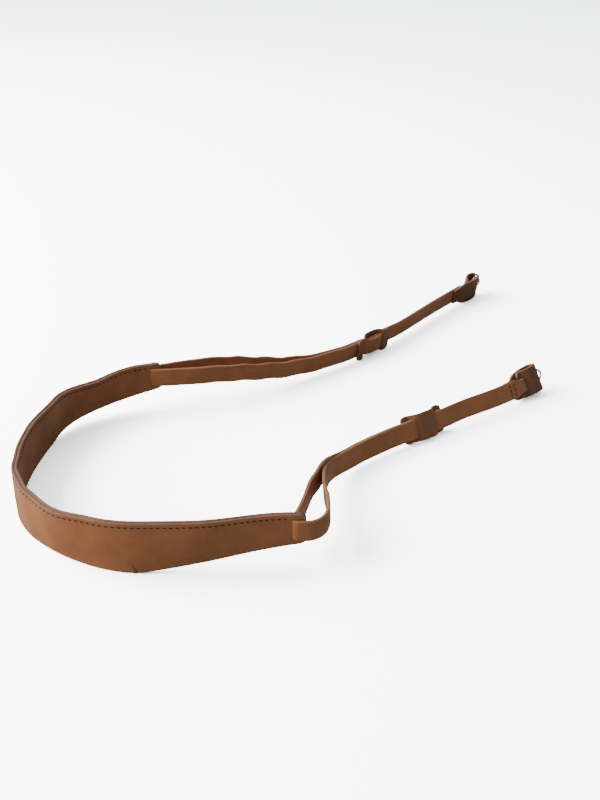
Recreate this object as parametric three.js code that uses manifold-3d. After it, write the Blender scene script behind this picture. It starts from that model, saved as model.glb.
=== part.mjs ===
// Camera neck strap, lying on a flat surface in an open loop: a folded and sewn leather neck pad,
// and at each end of it a narrow leather strap with a slider, a folded end flap and a wire ring.
// Millimetres, +Z up. The origin is under the middle of the whole, on the surface.
import * as THREE from 'three';
import { mergeVertices } from 'three/addons/utils/BufferGeometryUtils.js';
import Module from 'manifold-3d';

const wasm = await Module();
wasm.setup();

// Driving sizes of the neck pad
const PAD_LENGTH = 430;
const PAD_WIDTH = 40;
const PAD_END_WIDTH = 22.5;
const PAD_WALL = 1.9;
const PAD_FOLD_GAP = 0.4;
const PAD_FOLD_FLAT = 1.8;
const PAD_CORNER = 4;
const PAD_END_BAR = 5;

// Driving sizes of the two narrow straps, each length from the pad's slit to the ring's bar
const NEAR_LENGTH = 332;
const FAR_LENGTH = 378;
const STRAP_WIDTH = 15;
const STRAP_THICKNESS = 2.3;
const STRAP_WEAVE = 1.4;
const STRAND_WIDTH = 11;
const LEATHER_EDGE = 0.45;

// Driving sizes of the sliders
const SLIDER_LENGTH = 41;
const SLIDER_HEIGHT = 22;
const SLIDER_WALL = 1.7;
const SLIDER_CORNER = 3.5;
const BRIDGE_LENGTH = 22;
const BRIDGE_BOW = 1.2;
const BRIDGE_BOW_SHARE = 0.8;
const BRIDGE_EASE = 2.6;

// Driving sizes of the end flaps and rings
const FLAP_REACH = 17.5;
const FLAP_WIDTH = 23;
const FLAP_WALL = 1.9;
const FLAP_CORNER = 4;
const RING_WIRE = 1.9;
const RING_BAR = 19;
const RING_DEPTH = 16;
const RING_CORNER = 3;

// How far a facet of the leather may turn, in degrees, and reach, and how finely each line is
// sampled before that
const STRAP_FACET = { turn: 5.5, step: 12 };
const FITTING_FACET = { turn: 12, step: 8 };
const PAD_FACET = 5.5;
const SAMPLE_STEP = 1.5;
const SWING_SAMPLES = 40;
const FOLD_SAMPLES = 48;
const FITTING_SAMPLES = 110;
const HALF_TURN_SAMPLES = 14;
const RING_CORNER_SAMPLES = 5;
const RING_SIDES = 8;

// Clearances
const GAP = 0.3;
const SLIDER_PLAY = 0.5;
const SLIT_PLAY = 0.25;
const SLIT_EASE = 0.6;

// Shares: where the fold's round begins and ends, how close to the bridge the strap starts to bow,
// and where a narrow strap's rest passes from its slider to its flap
const FOLD_ROUND = { across: 0.78, up: 0.34, inside: 1.1 };
const WEAVE_FLAT = 0.1;
const REST_CHANGE = { after: 0.1, until: 0.9 };
const PAD_END_SHARES = [0, 0.06, 0.22, 0.5, 1];

// Sizes that follow from these
const PAD_HALF = PAD_WALL + PAD_FOLD_GAP / 2;
const WRAP_RADIUS = PAD_HALF + GAP + STRAP_THICKNESS / 2;
const LEG_STEP = STRAP_THICKNESS + GAP;
const TAB_OFFSET = LEG_STEP + (STRAP_THICKNESS + SLIDER_WALL) / 2 + SLIDER_PLAY - STRAP_WEAVE;
const BRIDGE_OFFSET = (STRAP_THICKNESS + SLIDER_WALL) / 2 + SLIDER_PLAY - STRAP_WEAVE;
const LAYER = (STRAP_THICKNESS + FLAP_WALL) / 2 + GAP;
const RING_LOOP = (RING_WIRE + STRAP_THICKNESS) / 2 + GAP;
const FLAP_LOOP = RING_LOOP + LAYER;
const STACK = TAB_OFFSET + SLIDER_WALL / 2;

// The pad's course on the surface, from the near end: turns in degrees, a right turn negative
const PAD_HEADING = 181.2;
const PAD_BENDS = [
  { share: 0.067, turn: 3 },
  { share: 0.070, turn: 4.7 },
  { share: 0.102, turn: -6.6 },
  { share: 0.028, turn: -9.6 },
  { share: 0.060, turn: -16.7 },
  { share: 0.116, turn: -19.3 },
  { share: 0.107, turn: -35.9 },
  { share: 0.107, turn: -16.9 },
  { share: 0.107, turn: -7.2 },
  { share: 0.140, turn: -60.4 },
  { share: 0.058, turn: 1.2 },
  { share: 0.038, turn: 3.7 },
];

// The fold rises from the pad's two lower corners to its ends, as a share of the width it loses
const PAD_FOLD = [
  { share: 0, rise: 1 },
  { share: 0.235, rise: 0.03 },
  { share: 0.265, rise: 0 },
  { share: 0.740, rise: 0 },
  { share: 0.770, rise: 0.03 },
  { share: 1, rise: 1 },
];

// How the pad's upper edge leans towards the inside of the loop, in degrees
const PAD_LEAN = [
  { share: 0.04, lean: 0 },
  { share: 0.14, lean: -4.6 },
  { share: 0.25, lean: -1.5 },
  { share: 0.32, lean: -3.6 },
  { share: 0.38, lean: -8.1 },
  { share: 0.45, lean: -3.2 },
  { share: 0.495, lean: 0 },
  { share: 0.515, lean: 0 },
  { share: 0.56, lean: 3.1 },
  { share: 0.65, lean: 4.9 },
  { share: 0.75, lean: 9.7 },
  { share: 0.86, lean: 17.5 },
  { share: 0.96, lean: 0 },
];

// The courses of the two narrow straps from the pad's slits, with a column for the lean of the top
// towards the inside of the loop, and one for the height: 1 as at the slit, 0 lying on the surface
const NEAR_BENDS = [
  { share: 0.025, turn: 34.6 },
  { share: 0.03, turn: 31.4 },
  { share: 0.035, turn: 19.7 },
  { share: 0.04, turn: 8.1 },
  { share: 0.05, turn: -2.3 },
  { share: 0.08, turn: -11.9 },
  { share: 0.11, turn: -25.6 },
  { share: 0.095, turn: -16.7 },
  { share: 0.164, turn: -3.3 },
  { share: 0.139, turn: 1.1 },
  { share: 0.095, turn: -7.3 },
  { share: 0.07, turn: 4.8 },
  { share: 0.06, turn: 4 },
  { share: 0.04, turn: 11 },
  { share: 0.05, turn: 0 },
];
const FAR_BENDS = [
  { share: 0.04, turn: 1.7 },
  { share: 0.06, turn: -0.3 },
  { share: 0.08, turn: -1.2 },
  { share: 0.1, turn: 1.1 },
  { share: 0.12, turn: 13.2 },
  { share: 0.15, turn: 11.2 },
  { share: 0.15, turn: 6.4 },
  { share: 0.15, turn: -1.5 },
  { share: 0.15, turn: -2 },
];
const NEAR_STANCE = [
  { share: 0, height: 1, lean: 0 },
  { share: 0.06, height: 1, lean: 0 },
  { share: 0.12, height: 1.06, lean: 2 },
  { share: 0.2, height: 0.79, lean: 5 },
  { share: 0.4, height: 0, lean: 16.6 },
  { share: 0.55, height: 0, lean: 24 },
  { share: 0.7, height: 0, lean: 23.4 },
  { share: 0.85, height: 0, lean: 25.5 },
  { share: 1, height: 0, lean: 29 },
];
const FAR_STANCE = [
  { share: 0, height: 1, lean: 0 },
  { share: 0.05, height: 1, lean: 0 },
  { share: 0.12, height: 0.95, lean: 1.5 },
  { share: 0.18, height: 0.79, lean: 2.5 },
  { share: 0.24, height: 0.54, lean: 3.5 },
  { share: 0.3, height: 0.29, lean: 5 },
  { share: 0.38, height: 0.1, lean: 6.5 },
  { share: 0.5, height: 0, lean: 9 },
  { share: 0.65, height: 0, lean: 9 },
  { share: 1, height: 0, lean: 8.3 },
];

// Each narrow strap: which side the inside of the loop is, where its slider sits, how far it wraps
// round the end bar, and how its inner leg swings back to the outer one
const NEAR = {
  name: 'near', length: NEAR_LENGTH, bends: NEAR_BENDS, stance: NEAR_STANCE,
  inside: 1, slider: 0.625, meet: 0.40, wrap: 112, leave: 0.40, join: 0.30,
};
const FAR = {
  name: 'far', length: FAR_LENGTH, bends: FAR_BENDS, stance: FAR_STANCE,
  inside: -1, slider: 0.548, meet: 0.45, wrap: 163, leave: 0.34, join: 0.34,
};

// Folds of the ring end, seen from above: back from the ring's bar as shares of the flap's reach,
// out from the strap's middle in layers of leather, inner side positive
const STRAND_FOLDS = [
  { back: 0.30, out: -0.55 },
  { back: 0.50, out: 0.02 },
  { back: 0.66, out: 0.22 },
  { back: 0.88, out: -0.30 },
  { back: 1.15, out: -0.30 },
];
const STRAND_TAIL = { back: 0.40, out: 1.08 };
const STRAND_STRAIGHT = 1.7;
const STRAND_LEAD = 0.3;
const STRAND_TAPER = { from: 1.05, to: 1.55 };
const FLAP_OUTER = [
  { back: 1.10, out: 0.74, wide: 1 },
  { back: 0.96, out: 0.72, wide: 1 },
  { back: 0.80, out: 0.62, wide: 1 },
  { back: 0.62, out: -0.55, wide: 1 },
  { back: 0.40, out: -1.62, wide: 1 },
];
const FLAP_INNER = [
  { back: 0.40, out: 2.36, wide: 1 },
  { back: 0.75, out: 2.18, wide: 1 },
  { back: 1.08, out: 1.80, wide: 1 },
  { back: 1.36, out: 1.50, wide: 0.75 },
  { back: 1.68, out: 1.06, wide: 0.12 },
  { back: 1.88, out: 1.02, wide: 0 },
  { back: 2.10, out: 1.02, wide: 0 },
];

const FLAP_BELLY = Math.max(...FLAP_INNER.map((row) => row.out)) * LAYER + FLAP_WALL / 2;

// Finish of the pieces
const PAD_LEATHER = { color: 0x8a5638, roughness: 0.62, metalness: 0 };
const STRAP_LEATHER = { color: 0x74462c, roughness: 0.58, metalness: 0 };
const FLAP_LEATHER = { color: 0x5f3a26, roughness: 0.64, metalness: 0 };
const BRIGHT_WIRE = { color: 0xc9cacb, roughness: 0.22, metalness: 1 };

const Z_AXIS = new THREE.Vector3(0, 0, 1);

// Course and stance

// A course of a straight lead and then arcs, as a function of the length along it
function makeRoute(start, heading, lead, length, bends) {
  const arcs = [];
  const whole = bends.reduce((sum, row) => sum + row.share, 0);
  let arc = { from: 0, x: start.x, y: start.y, heading, curve: 0 };
  arcs.push(arc);
  let from = lead;
  for (const row of bends) {
    const run = (length - lead) * row.share / whole;
    const joint = follow(arc, from - arc.from);
    const turn = THREE.MathUtils.degToRad(row.turn);
    arc = { from, x: joint.x, y: joint.y, heading: joint.heading, curve: turn / run };
    arcs.push(arc);
    from += run;
  }
  return (s) => {
    const own = arcs.findLast((a) => a.from <= s) ?? arcs[0];
    return follow(own, s - own.from);
  };
}

function follow(arc, run) {
  const half = arc.curve * run / 2;
  const chord = Math.abs(half) < 1e-9 ? run : run * Math.sin(half) / half;
  return {
    x: arc.x + chord * Math.cos(arc.heading + half),
    y: arc.y + chord * Math.sin(arc.heading + half),
    heading: arc.heading + 2 * half,
  };
}

// A column of a table at a share, eased between its rows
function column(rows, key, share) {
  const last = rows.length - 1;
  if (share <= rows[0].share) return rows[0][key];
  if (share >= rows[last].share) return rows[last][key];
  const i = rows.findIndex((row) => row.share > share);
  const a = rows[i - 1];
  const b = rows[i];
  const t = THREE.MathUtils.smoothstep(share, a.share, b.share);
  return THREE.MathUtils.lerp(a[key], b[key], t);
}

function straightColumn(rows, key, share) {
  const i = Math.max(1, rows.findIndex((row) => row.share >= share));
  const a = rows[i - 1];
  const b = rows[i];
  return THREE.MathUtils.mapLinear(share, a.share, b.share, a[key], b[key]);
}

// How high the strap's lower edge lies where something taller than it rests on the surface
function restHeight(lean, tallness, reach) {
  const below = (tallness - STRAP_WIDTH) / 2;
  return below * Math.cos(lean) + reach * Math.sin(lean);
}

// The frame of a narrow strap: place(s, n, u) takes a length along the outer leg, an offset towards
// the inside of the loop and a height up the leaning strap to a point
function makeFrame(side, padPoint) {
  const start = {
    x: padPoint.x + side.inside * WRAP_RADIUS * Math.sin(padPoint.heading),
    y: padPoint.y - side.inside * WRAP_RADIUS * Math.cos(padPoint.heading),
  };
  const route = makeRoute(start, padPoint.heading, PAD_END_BAR, side.length, side.bends);
  const slitHeight = PAD_WIDTH - (PAD_END_WIDTH + STRAP_WIDTH) / 2;

  function stance(s) {
    const share = s / side.length;
    const lean = THREE.MathUtils.degToRad(column(side.stance, 'lean', share));
    const onSlider = restHeight(lean, SLIDER_HEIGHT, STACK);
    const onFlap = restHeight(lean, FLAP_WIDTH, FLAP_BELLY);
    const between = THREE.MathUtils.smoothstep(share, side.slider + REST_CHANGE.after, REST_CHANGE.until);
    const rest = THREE.MathUtils.lerp(onSlider, onFlap, between);
    return { lean, height: THREE.MathUtils.lerp(rest, slitHeight, column(side.stance, 'height', share)) };
  }

  function axes(s) {
    const point = route(s);
    const { lean, height } = stance(s);
    const inward = new THREE.Vector3(-Math.sin(point.heading), Math.cos(point.heading), 0);
    inward.multiplyScalar(side.inside);
    const foot = new THREE.Vector3(point.x, point.y, height);
    const up = Z_AXIS.clone().multiplyScalar(Math.cos(lean)).addScaledVector(inward, Math.sin(lean));
    const along = new THREE.Vector3(Math.cos(point.heading), Math.sin(point.heading), 0);
    return { foot, inward, up, along, lean };
  }

  function place(s, n, u) {
    const { foot, inward, up, lean } = axes(s);
    return foot.addScaledVector(inward, n * Math.cos(lean))
      .addScaledVector(Z_AXIS, -n * Math.sin(lean))
      .addScaledVector(up, u);
  }

  return { axes, place };
}

// Solids

function makeGeometry(points, triangles) {
  const geometry = new THREE.BufferGeometry();
  const values = points.flatMap((p) => p.toArray());
  geometry.setAttribute('position', new THREE.Float32BufferAttribute(values, 3));
  geometry.setIndex(triangles.flat());
  return geometry;
}

// A solid through like sections: closed round on itself, or capped by the section's own triangles
function loft(sections, capTriangles) {
  const size = sections[0].length;
  const steps = capTriangles ? sections.length - 1 : sections.length;
  const triangles = [];
  for (let i = 0; i < steps; i++) {
    const a = i * size;
    const b = ((i + 1) % sections.length) * size;
    for (let j = 0; j < size; j++) {
      const k = (j + 1) % size;
      triangles.push([a + j, b + k, a + k], [a + j, b + j, b + k]);
    }
  }
  if (capTriangles) {
    const end = (sections.length - 1) * size;
    for (const [p, q, r] of capTriangles) {
      triangles.push([p, q, r], [end + p, end + r, end + q]);
    }
  }
  const points = sections.flat();
  const volume = triangles.reduce((sum, [p, q, r]) => (
    sum + points[p].dot(new THREE.Vector3().crossVectors(points[q], points[r]))), 0);
  return makeGeometry(points, volume < 0 ? triangles.map(([p, q, r]) => [p, r, q]) : triangles);
}

// The directions along a line of stations, each with a foot point
function tangents(stations) {
  return stations.map((station, i) => {
    const before = stations[Math.max(i - 1, 0)].foot;
    const after = stations[Math.min(i + 1, stations.length - 1)].foot;
    return new THREE.Vector3().subVectors(after, before).normalize();
  });
}

// Leaves out stations where the line is nearly straight
function thin(stations, maxTurn, maxStep) {
  const limit = Math.cos(THREE.MathUtils.degToRad(maxTurn));
  const headings = tangents(stations);
  const kept = [0];
  for (let i = 1; i < stations.length - 1; i++) {
    const last = kept[kept.length - 1];
    const turned = headings[last].dot(headings[i + 1]) < limit;
    const far = stations[last].foot.distanceTo(stations[i + 1].foot) > maxStep;
    if (turned || far) kept.push(i);
  }
  kept.push(stations.length - 1);
  return kept.map((i) => ({ ...stations[i], heading: headings[i] }));
}

// A flat strip of leather along stations, with broken edges; each station has its low and high edge
function strip(stations, thickness, edge) {
  const half = thickness / 2;
  const sections = stations.map(({ foot, up, heading, low, high }) => {
    const across = new THREE.Vector3().crossVectors(up, heading).normalize();
    const outline = [
      [-half + edge, low], [half - edge, low], [half, low + edge], [half, high - edge],
      [half - edge, high], [-half + edge, high], [-half, high - edge], [-half, low + edge],
    ];
    return outline.map(([a, u]) => foot.clone().addScaledVector(across, a).addScaledVector(up, u));
  });
  const fan = [1, 2, 3, 4, 5, 6].map((i) => [0, i, i + 1]);
  return loft(sections, fan);
}

function widened(stations, ease) {
  return stations.map((station) => ({ ...station, low: station.low - ease, high: station.high + ease }));
}

// How much a rounded corner takes off a side at a distance from the end
function cornerInset(radius, distance) {
  const rest = THREE.MathUtils.clamp(radius - distance, 0, radius);
  return radius - Math.sqrt(radius * radius - rest * rest);
}

function toSolid(geometry) {
  const bare = new THREE.BufferGeometry();
  bare.setAttribute('position', geometry.getAttribute('position'));
  bare.setIndex(geometry.getIndex());
  const merged = mergeVertices(bare, 1e-5);
  return new wasm.Manifold(new wasm.Mesh({
    numProp: 3,
    vertProperties: new Float32Array(merged.getAttribute('position').array),
    triVerts: new Uint32Array(merged.getIndex().array),
  }));
}

function cut(geometry, cutter) {
  const mesh = toSolid(geometry).subtract(toSolid(cutter)).getMesh();
  const result = new THREE.BufferGeometry();
  result.setAttribute('position', new THREE.Float32BufferAttribute(mesh.vertProperties, 3));
  result.setIndex(Array.from(mesh.triVerts));
  return result;
}

// Neck pad

// Distances along the pad at which it has a section, closer together at its rounded ends
function padStations() {
  const ends = PAD_END_SHARES.map((share) => share * PAD_CORNER);
  const count = Math.round(PAD_LENGTH / PAD_FACET);
  const middle = Array.from({ length: count - 1 }, (_, i) => (i + 1) * PAD_LENGTH / count)
    .filter((s) => s > PAD_CORNER + SAMPLE_STEP && s < PAD_LENGTH - PAD_CORNER - SAMPLE_STEP);
  return [...ends, ...middle, ...ends.map((s) => PAD_LENGTH - s).reverse()];
}

// The pad's section: two walls joined by the fold below, open along the sewn edge above
function padSection(point, lean, low, high) {
  const outward = new THREE.Vector3(-Math.sin(point.heading), Math.cos(point.heading), 0);
  const across = outward.clone().multiplyScalar(Math.cos(lean)).addScaledVector(Z_AXIS, Math.sin(lean));
  const upward = Z_AXIS.clone().multiplyScalar(Math.cos(lean)).addScaledVector(outward, -Math.sin(lean));
  const foot = new THREE.Vector3(point.x, point.y, PAD_FOLD_FLAT / 2 * Math.abs(Math.sin(lean)));
  const slot = PAD_FOLD_GAP / 2;
  const fold = low + PAD_WALL * FOLD_ROUND.inside;
  const half = [
    [PAD_FOLD_FLAT / 2, low],
    [PAD_HALF * FOLD_ROUND.across, low + PAD_HALF * FOLD_ROUND.up], [PAD_HALF, low + PAD_HALF],
    [PAD_HALF, high - LEATHER_EDGE], [PAD_HALF - LEATHER_EDGE, high],
    [slot + LEATHER_EDGE, high], [slot, high - LEATHER_EDGE], [slot, fold],
  ];
  const outline = [...half, ...half.map(([a, z]) => [-a, z]).reverse()];
  const points = outline.map(([a, z]) => (
    foot.clone().addScaledVector(across, a).addScaledVector(upward, z)));
  return { outline, points };
}

function makePad(route, cutters) {
  const sections = padStations().map((s) => {
    const inset = cornerInset(PAD_CORNER, Math.min(s, PAD_LENGTH - s));
    const rise = straightColumn(PAD_FOLD, 'rise', s / PAD_LENGTH);
    const low = (PAD_WIDTH - PAD_END_WIDTH) * rise;
    const lean = THREE.MathUtils.degToRad(column(PAD_LEAN, 'lean', s / PAD_LENGTH));
    return padSection(route(s), lean, low + inset, PAD_WIDTH - inset);
  });
  const outline = sections[0].outline.map(([a, z]) => new THREE.Vector2(a, z));
  const caps = THREE.ShapeUtils.triangulateShape(outline, []);
  const pad = loft(sections.map((section) => section.points), caps);
  return cutters.reduce(cut, pad);
}

// Narrow straps

// How far the strap lies inwards where it goes behind a slider's bridge, and outwards over its tabs
function weave(side, s) {
  const off = Math.abs(s - side.slider * side.length);
  const tab = (SLIDER_LENGTH + BRIDGE_LENGTH) / 4;
  const out = THREE.MathUtils.smoothstep(off, BRIDGE_LENGTH * WEAVE_FLAT, tab);
  const back = THREE.MathUtils.smoothstep(off, tab, SLIDER_LENGTH);
  return STRAP_WEAVE * (1 - 2 * out + back);
}

function stationAt(frame, s, n, low = 0, high = STRAP_WIDTH) {
  return { foot: frame.place(s, n, 0), up: frame.axes(s).up, low, high };
}

// The folded ring end of the strap, from its hidden tail round the ring's bar and out of the flap
function ringEnd(side, frame) {
  const bar = side.length;
  const strandAt = (s, n) => {
    const full = THREE.MathUtils.smoothstep((bar - s) / FLAP_REACH, STRAND_TAPER.from, STRAND_TAPER.to);
    const inset = (STRAP_WIDTH - STRAND_WIDTH) / 2 * (1 - full);
    return stationAt(frame, s, n, inset, STRAP_WIDTH - inset);
  };
  const stations = [strandAt(bar - STRAND_TAIL.back * FLAP_REACH, STRAND_TAIL.out * LAYER)];
  for (let i = 0; i <= HALF_TURN_SAMPLES; i++) {
    const angle = Math.PI * i / HALF_TURN_SAMPLES;
    stations.push(strandAt(bar + RING_LOOP * Math.sin(angle), RING_LOOP * Math.cos(angle)));
  }
  const fold = ({ back, out }) => new THREE.Vector3(bar - back * FLAP_REACH, out * LAYER, 0);
  const straight = new THREE.Vector3(bar - STRAND_STRAIGHT * FLAP_REACH, 0, 0);
  const lead = straight.clone().setX(straight.x - STRAND_LEAD * FLAP_REACH);
  const leaving = new THREE.Vector3(bar, -RING_LOOP, 0);
  const curve = new THREE.CatmullRomCurve3([leaving, ...STRAND_FOLDS.map(fold), straight, lead]);
  curve.getPoints(FOLD_SAMPLES).slice(1).forEach((p) => stations.push(strandAt(p.x, p.y)));
  return { stations, from: lead.x };
}

// The bend through the pad's slit round its end bar
function slitBend(side, frame) {
  const { foot, inward, along } = frame.axes(0);
  const centre = foot.clone().addScaledVector(inward, WRAP_RADIUS);
  const steps = Math.round(side.wrap / 180 * HALF_TURN_SAMPLES);
  return Array.from({ length: steps + 1 }, (_, i) => {
    const angle = THREE.MathUtils.degToRad(side.wrap * i / steps);
    const spoke = inward.clone().multiplyScalar(-Math.cos(angle)).addScaledVector(along, -Math.sin(angle));
    const point = centre.clone().addScaledVector(spoke, WRAP_RADIUS);
    return { foot: point, up: Z_AXIS, low: 0, high: STRAP_WIDTH };
  });
}

// The inner leg, from the slit to where it lies on the outer leg
function swingBack(side, frame, bend) {
  const last = bend[bend.length - 1].foot;
  const leaving = last.clone().sub(bend[bend.length - 2].foot).normalize();
  const meet = side.meet * side.length;
  const end = frame.place(meet, LEG_STEP + weave(side, meet), 0);
  const chord = end.distanceTo(last);
  const curve = new THREE.CubicBezierCurve3(
    last,
    last.clone().addScaledVector(leaving, side.leave * chord),
    end.clone().addScaledVector(frame.axes(meet).along, -side.join * chord),
    end,
  );
  return Array.from({ length: SWING_SAMPLES }, (_, i) => {
    const t = (i + 1) / SWING_SAMPLES;
    const { foot: onLeg, lean } = frame.axes(t * meet);
    const foot = curve.getPoint(t).setZ(onLeg.z - t * LEG_STEP * Math.sin(lean));
    const way = curve.getTangent(t).setZ(0).normalize();
    const inward = new THREE.Vector3(-way.y, way.x, 0).multiplyScalar(side.inside);
    const up = Z_AXIS.clone().multiplyScalar(Math.cos(lean)).addScaledVector(inward, Math.sin(lean));
    return { foot, up, low: 0, high: STRAP_WIDTH };
  });
}

function strapStations(side, frame) {
  const { stations, from } = ringEnd(side, frame);
  const bend = slitBend(side, frame);
  const outer = [];
  for (let s = from - SAMPLE_STEP; s > SAMPLE_STEP / 2; s -= SAMPLE_STEP) {
    outer.push(stationAt(frame, s, weave(side, s)));
  }
  const inner = [];
  const tailEnd = side.slider * side.length + SLIDER_LENGTH / 2 - SLIDER_CORNER;
  for (let s = side.meet * side.length + SAMPLE_STEP; s <= tailEnd; s += SAMPLE_STEP) {
    inner.push(stationAt(frame, s, LEG_STEP + weave(side, s)));
  }
  const whole = [...stations, ...outer, ...bend, ...swingBack(side, frame, bend), ...inner];
  return thin(whole, STRAP_FACET.turn, STRAP_FACET.step);
}

// Sliders

// The slider's line seen from above: inner tabs at both ends, and the bridge bowed to the outside
function sliderLine() {
  const tabEnd = SLIDER_LENGTH / 2;
  const slit = BRIDGE_LENGTH / 2;
  const half = [
    [tabEnd, TAB_OFFSET], [(tabEnd + slit + BRIDGE_EASE) / 2, TAB_OFFSET], [slit + BRIDGE_EASE, TAB_OFFSET],
    [slit, (TAB_OFFSET - BRIDGE_OFFSET) / 2], [slit - BRIDGE_EASE, -BRIDGE_OFFSET],
    [slit / 2, -BRIDGE_OFFSET - BRIDGE_BOW * BRIDGE_BOW_SHARE], [0, -BRIDGE_OFFSET - BRIDGE_BOW],
  ];
  const other = half.slice(0, -1).map(([s, n]) => [-s, n]).reverse();
  return new THREE.CatmullRomCurve3([...half, ...other].map(([s, n]) => new THREE.Vector3(s, n, 0)));
}

function makeSlider(side, frame) {
  const middle = side.slider * side.length;
  const margin = (SLIDER_HEIGHT - STRAP_WIDTH) / 2;
  const line = sliderLine().getPoints(FITTING_SAMPLES).map((p) => {
    const inset = cornerInset(SLIDER_CORNER, SLIDER_LENGTH / 2 - Math.abs(p.x));
    return stationAt(frame, middle + p.x, p.y, inset - margin, STRAP_WIDTH + margin - inset);
  });
  const plate = strip(thin(line, FITTING_FACET.turn, FITTING_FACET.step), SLIDER_WALL, LEATHER_EDGE);
  const channel = [];
  const reach = SLIDER_LENGTH / 2 + SAMPLE_STEP;
  for (let s = middle - reach; s <= middle + reach; s += SAMPLE_STEP) {
    channel.push(stationAt(frame, s, LEG_STEP / 2 + weave(side, s)));
  }
  const opening = widened(thin(channel, STRAP_FACET.turn, STRAP_FACET.step), SLIT_EASE);
  return cut(plate, strip(opening, LEG_STEP + STRAP_THICKNESS + 2 * SLIT_PLAY, 0));
}

// End flaps and rings

function makeFlap(side, frame, strandStations) {
  const bar = side.length;
  const fold = ({ back, out, wide }) => new THREE.Vector3(bar - back * FLAP_REACH, out * LAYER, wide);
  const loop = [0, 0.25, 0.5, 0.75, 1].map((share) => new THREE.Vector3(
    bar + FLAP_LOOP * Math.sin(Math.PI * share), -FLAP_LOOP * Math.cos(Math.PI * share), 1));
  const curve = new THREE.CatmullRomCurve3([...FLAP_OUTER.map(fold), ...loop, ...FLAP_INNER.map(fold)]);
  const run = curve.getLength() / FITTING_SAMPLES;
  const line = curve.getSpacedPoints(FITTING_SAMPLES).map((p, i) => {
    const wide = THREE.MathUtils.clamp(p.z, 0, 1);
    const half = THREE.MathUtils.lerp(STRAP_WIDTH, FLAP_WIDTH, wide) / 2 - cornerInset(FLAP_CORNER, i * run);
    return stationAt(frame, p.x, p.y, STRAP_WIDTH / 2 - half, STRAP_WIDTH / 2 + half);
  });
  const flap = strip(thin(line, FITTING_FACET.turn, FITTING_FACET.step), FLAP_WALL, LEATHER_EDGE);
  const slit = strip(widened(strandStations, SLIT_EASE), STRAP_THICKNESS + 2 * SLIT_PLAY, 0);
  return cut(cut(flap, slit), ringMouth(side, frame));
}

// The mouth in the flap's fold that the ring comes out of
function ringMouth(side, frame) {
  const from = RING_LOOP + STRAP_THICKNESS / 2;
  const half = (RING_BAR + RING_WIRE) / 2 * (1 - from / RING_DEPTH) + RING_WIRE / 2 + 2 * GAP;
  const reach = [from, FLAP_LOOP + FLAP_WALL];
  const stations = reach.map((s) => stationAt(
    frame, side.length + s, 0, STRAP_WIDTH / 2 - half, STRAP_WIDTH / 2 + half));
  return strip(thin(stations, FITTING_FACET.turn, FLAP_REACH), RING_WIRE + 2 * GAP, 0);
}

// The ring's wire line in its own plane: s out from the bar, u up the strap
function ringLine() {
  const corners = [
    new THREE.Vector2(0, -(RING_BAR + RING_WIRE) / 2),
    new THREE.Vector2(RING_DEPTH, 0),
    new THREE.Vector2(0, (RING_BAR + RING_WIRE) / 2),
  ];
  const line = [];
  corners.forEach((corner, i) => {
    const before = corners[(i + 2) % 3].clone().sub(corner).normalize();
    const after = corners[(i + 1) % 3].clone().sub(corner).normalize();
    const halfAngle = Math.acos(before.dot(after)) / 2;
    const middle = before.clone().add(after).normalize();
    const centre = middle.multiplyScalar(RING_CORNER / Math.sin(halfAngle)).add(corner);
    const setback = RING_CORNER / Math.tan(halfAngle);
    const from = corner.clone().addScaledVector(before, setback).sub(centre).angle();
    let sweep = corner.clone().addScaledVector(after, setback).sub(centre).angle() - from;
    if (sweep < 0) sweep += 2 * Math.PI;
    for (let k = 0; k <= RING_CORNER_SAMPLES; k++) {
      const angle = from + sweep * k / RING_CORNER_SAMPLES;
      line.push(new THREE.Vector2(Math.cos(angle), Math.sin(angle)).multiplyScalar(RING_CORNER).add(centre));
    }
  });
  return line;
}

function makeRing(side, frame) {
  const line = ringLine();
  const sections = line.map((p, i) => {
    const before = line[(i + line.length - 1) % line.length];
    const way = line[(i + 1) % line.length].clone().sub(before).normalize();
    return Array.from({ length: RING_SIDES }, (_, k) => {
      const angle = 2 * Math.PI * k / RING_SIDES;
      const inPlane = Math.cos(angle) * RING_WIRE / 2;
      const s = side.length + p.x + way.y * inPlane;
      const u = STRAP_WIDTH / 2 + p.y - way.x * inPlane;
      return frame.place(s, Math.sin(angle) * RING_WIRE / 2, u);
    });
  });
  return loft(sections, null);
}

// Assembly

function makeMesh(name, geometry, finish) {
  geometry.computeVertexNormals();
  const mesh = new THREE.Mesh(geometry, new THREE.MeshStandardMaterial(finish));
  mesh.name = name;
  return mesh;
}

function makeStrapSide(side, padPoint) {
  const frame = makeFrame(side, padPoint);
  const stations = strapStations(side, frame);
  const nearRing = (station) => station.foot.distanceTo(frame.place(side.length, 0, 0)) < FLAP_REACH * 1.5;
  const nearSlit = (station) => station.foot.distanceTo(frame.place(0, WRAP_RADIUS, 0)) < PAD_END_BAR * 4;
  const ringRun = stations.slice(0, stations.findIndex((station) => !nearRing(station)));
  const slitFirst = stations.findIndex(nearSlit);
  const slitRun = stations.slice(slitFirst, stations.findLastIndex(nearSlit) + 1);
  return {
    slitCutter: strip(widened(slitRun, SLIT_EASE), STRAP_THICKNESS + 2 * SLIT_PLAY, 0),
    meshes: [
      makeMesh(`${side.name}_strap`, strip(stations, STRAP_THICKNESS, LEATHER_EDGE), STRAP_LEATHER),
      makeMesh(`${side.name}_slider`, makeSlider(side, frame), FLAP_LEATHER),
      makeMesh(`${side.name}_end_flap`, makeFlap(side, frame, ringRun), FLAP_LEATHER),
      makeMesh(`${side.name}_ring`, makeRing(side, frame), BRIGHT_WIRE),
    ],
  };
}

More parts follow.
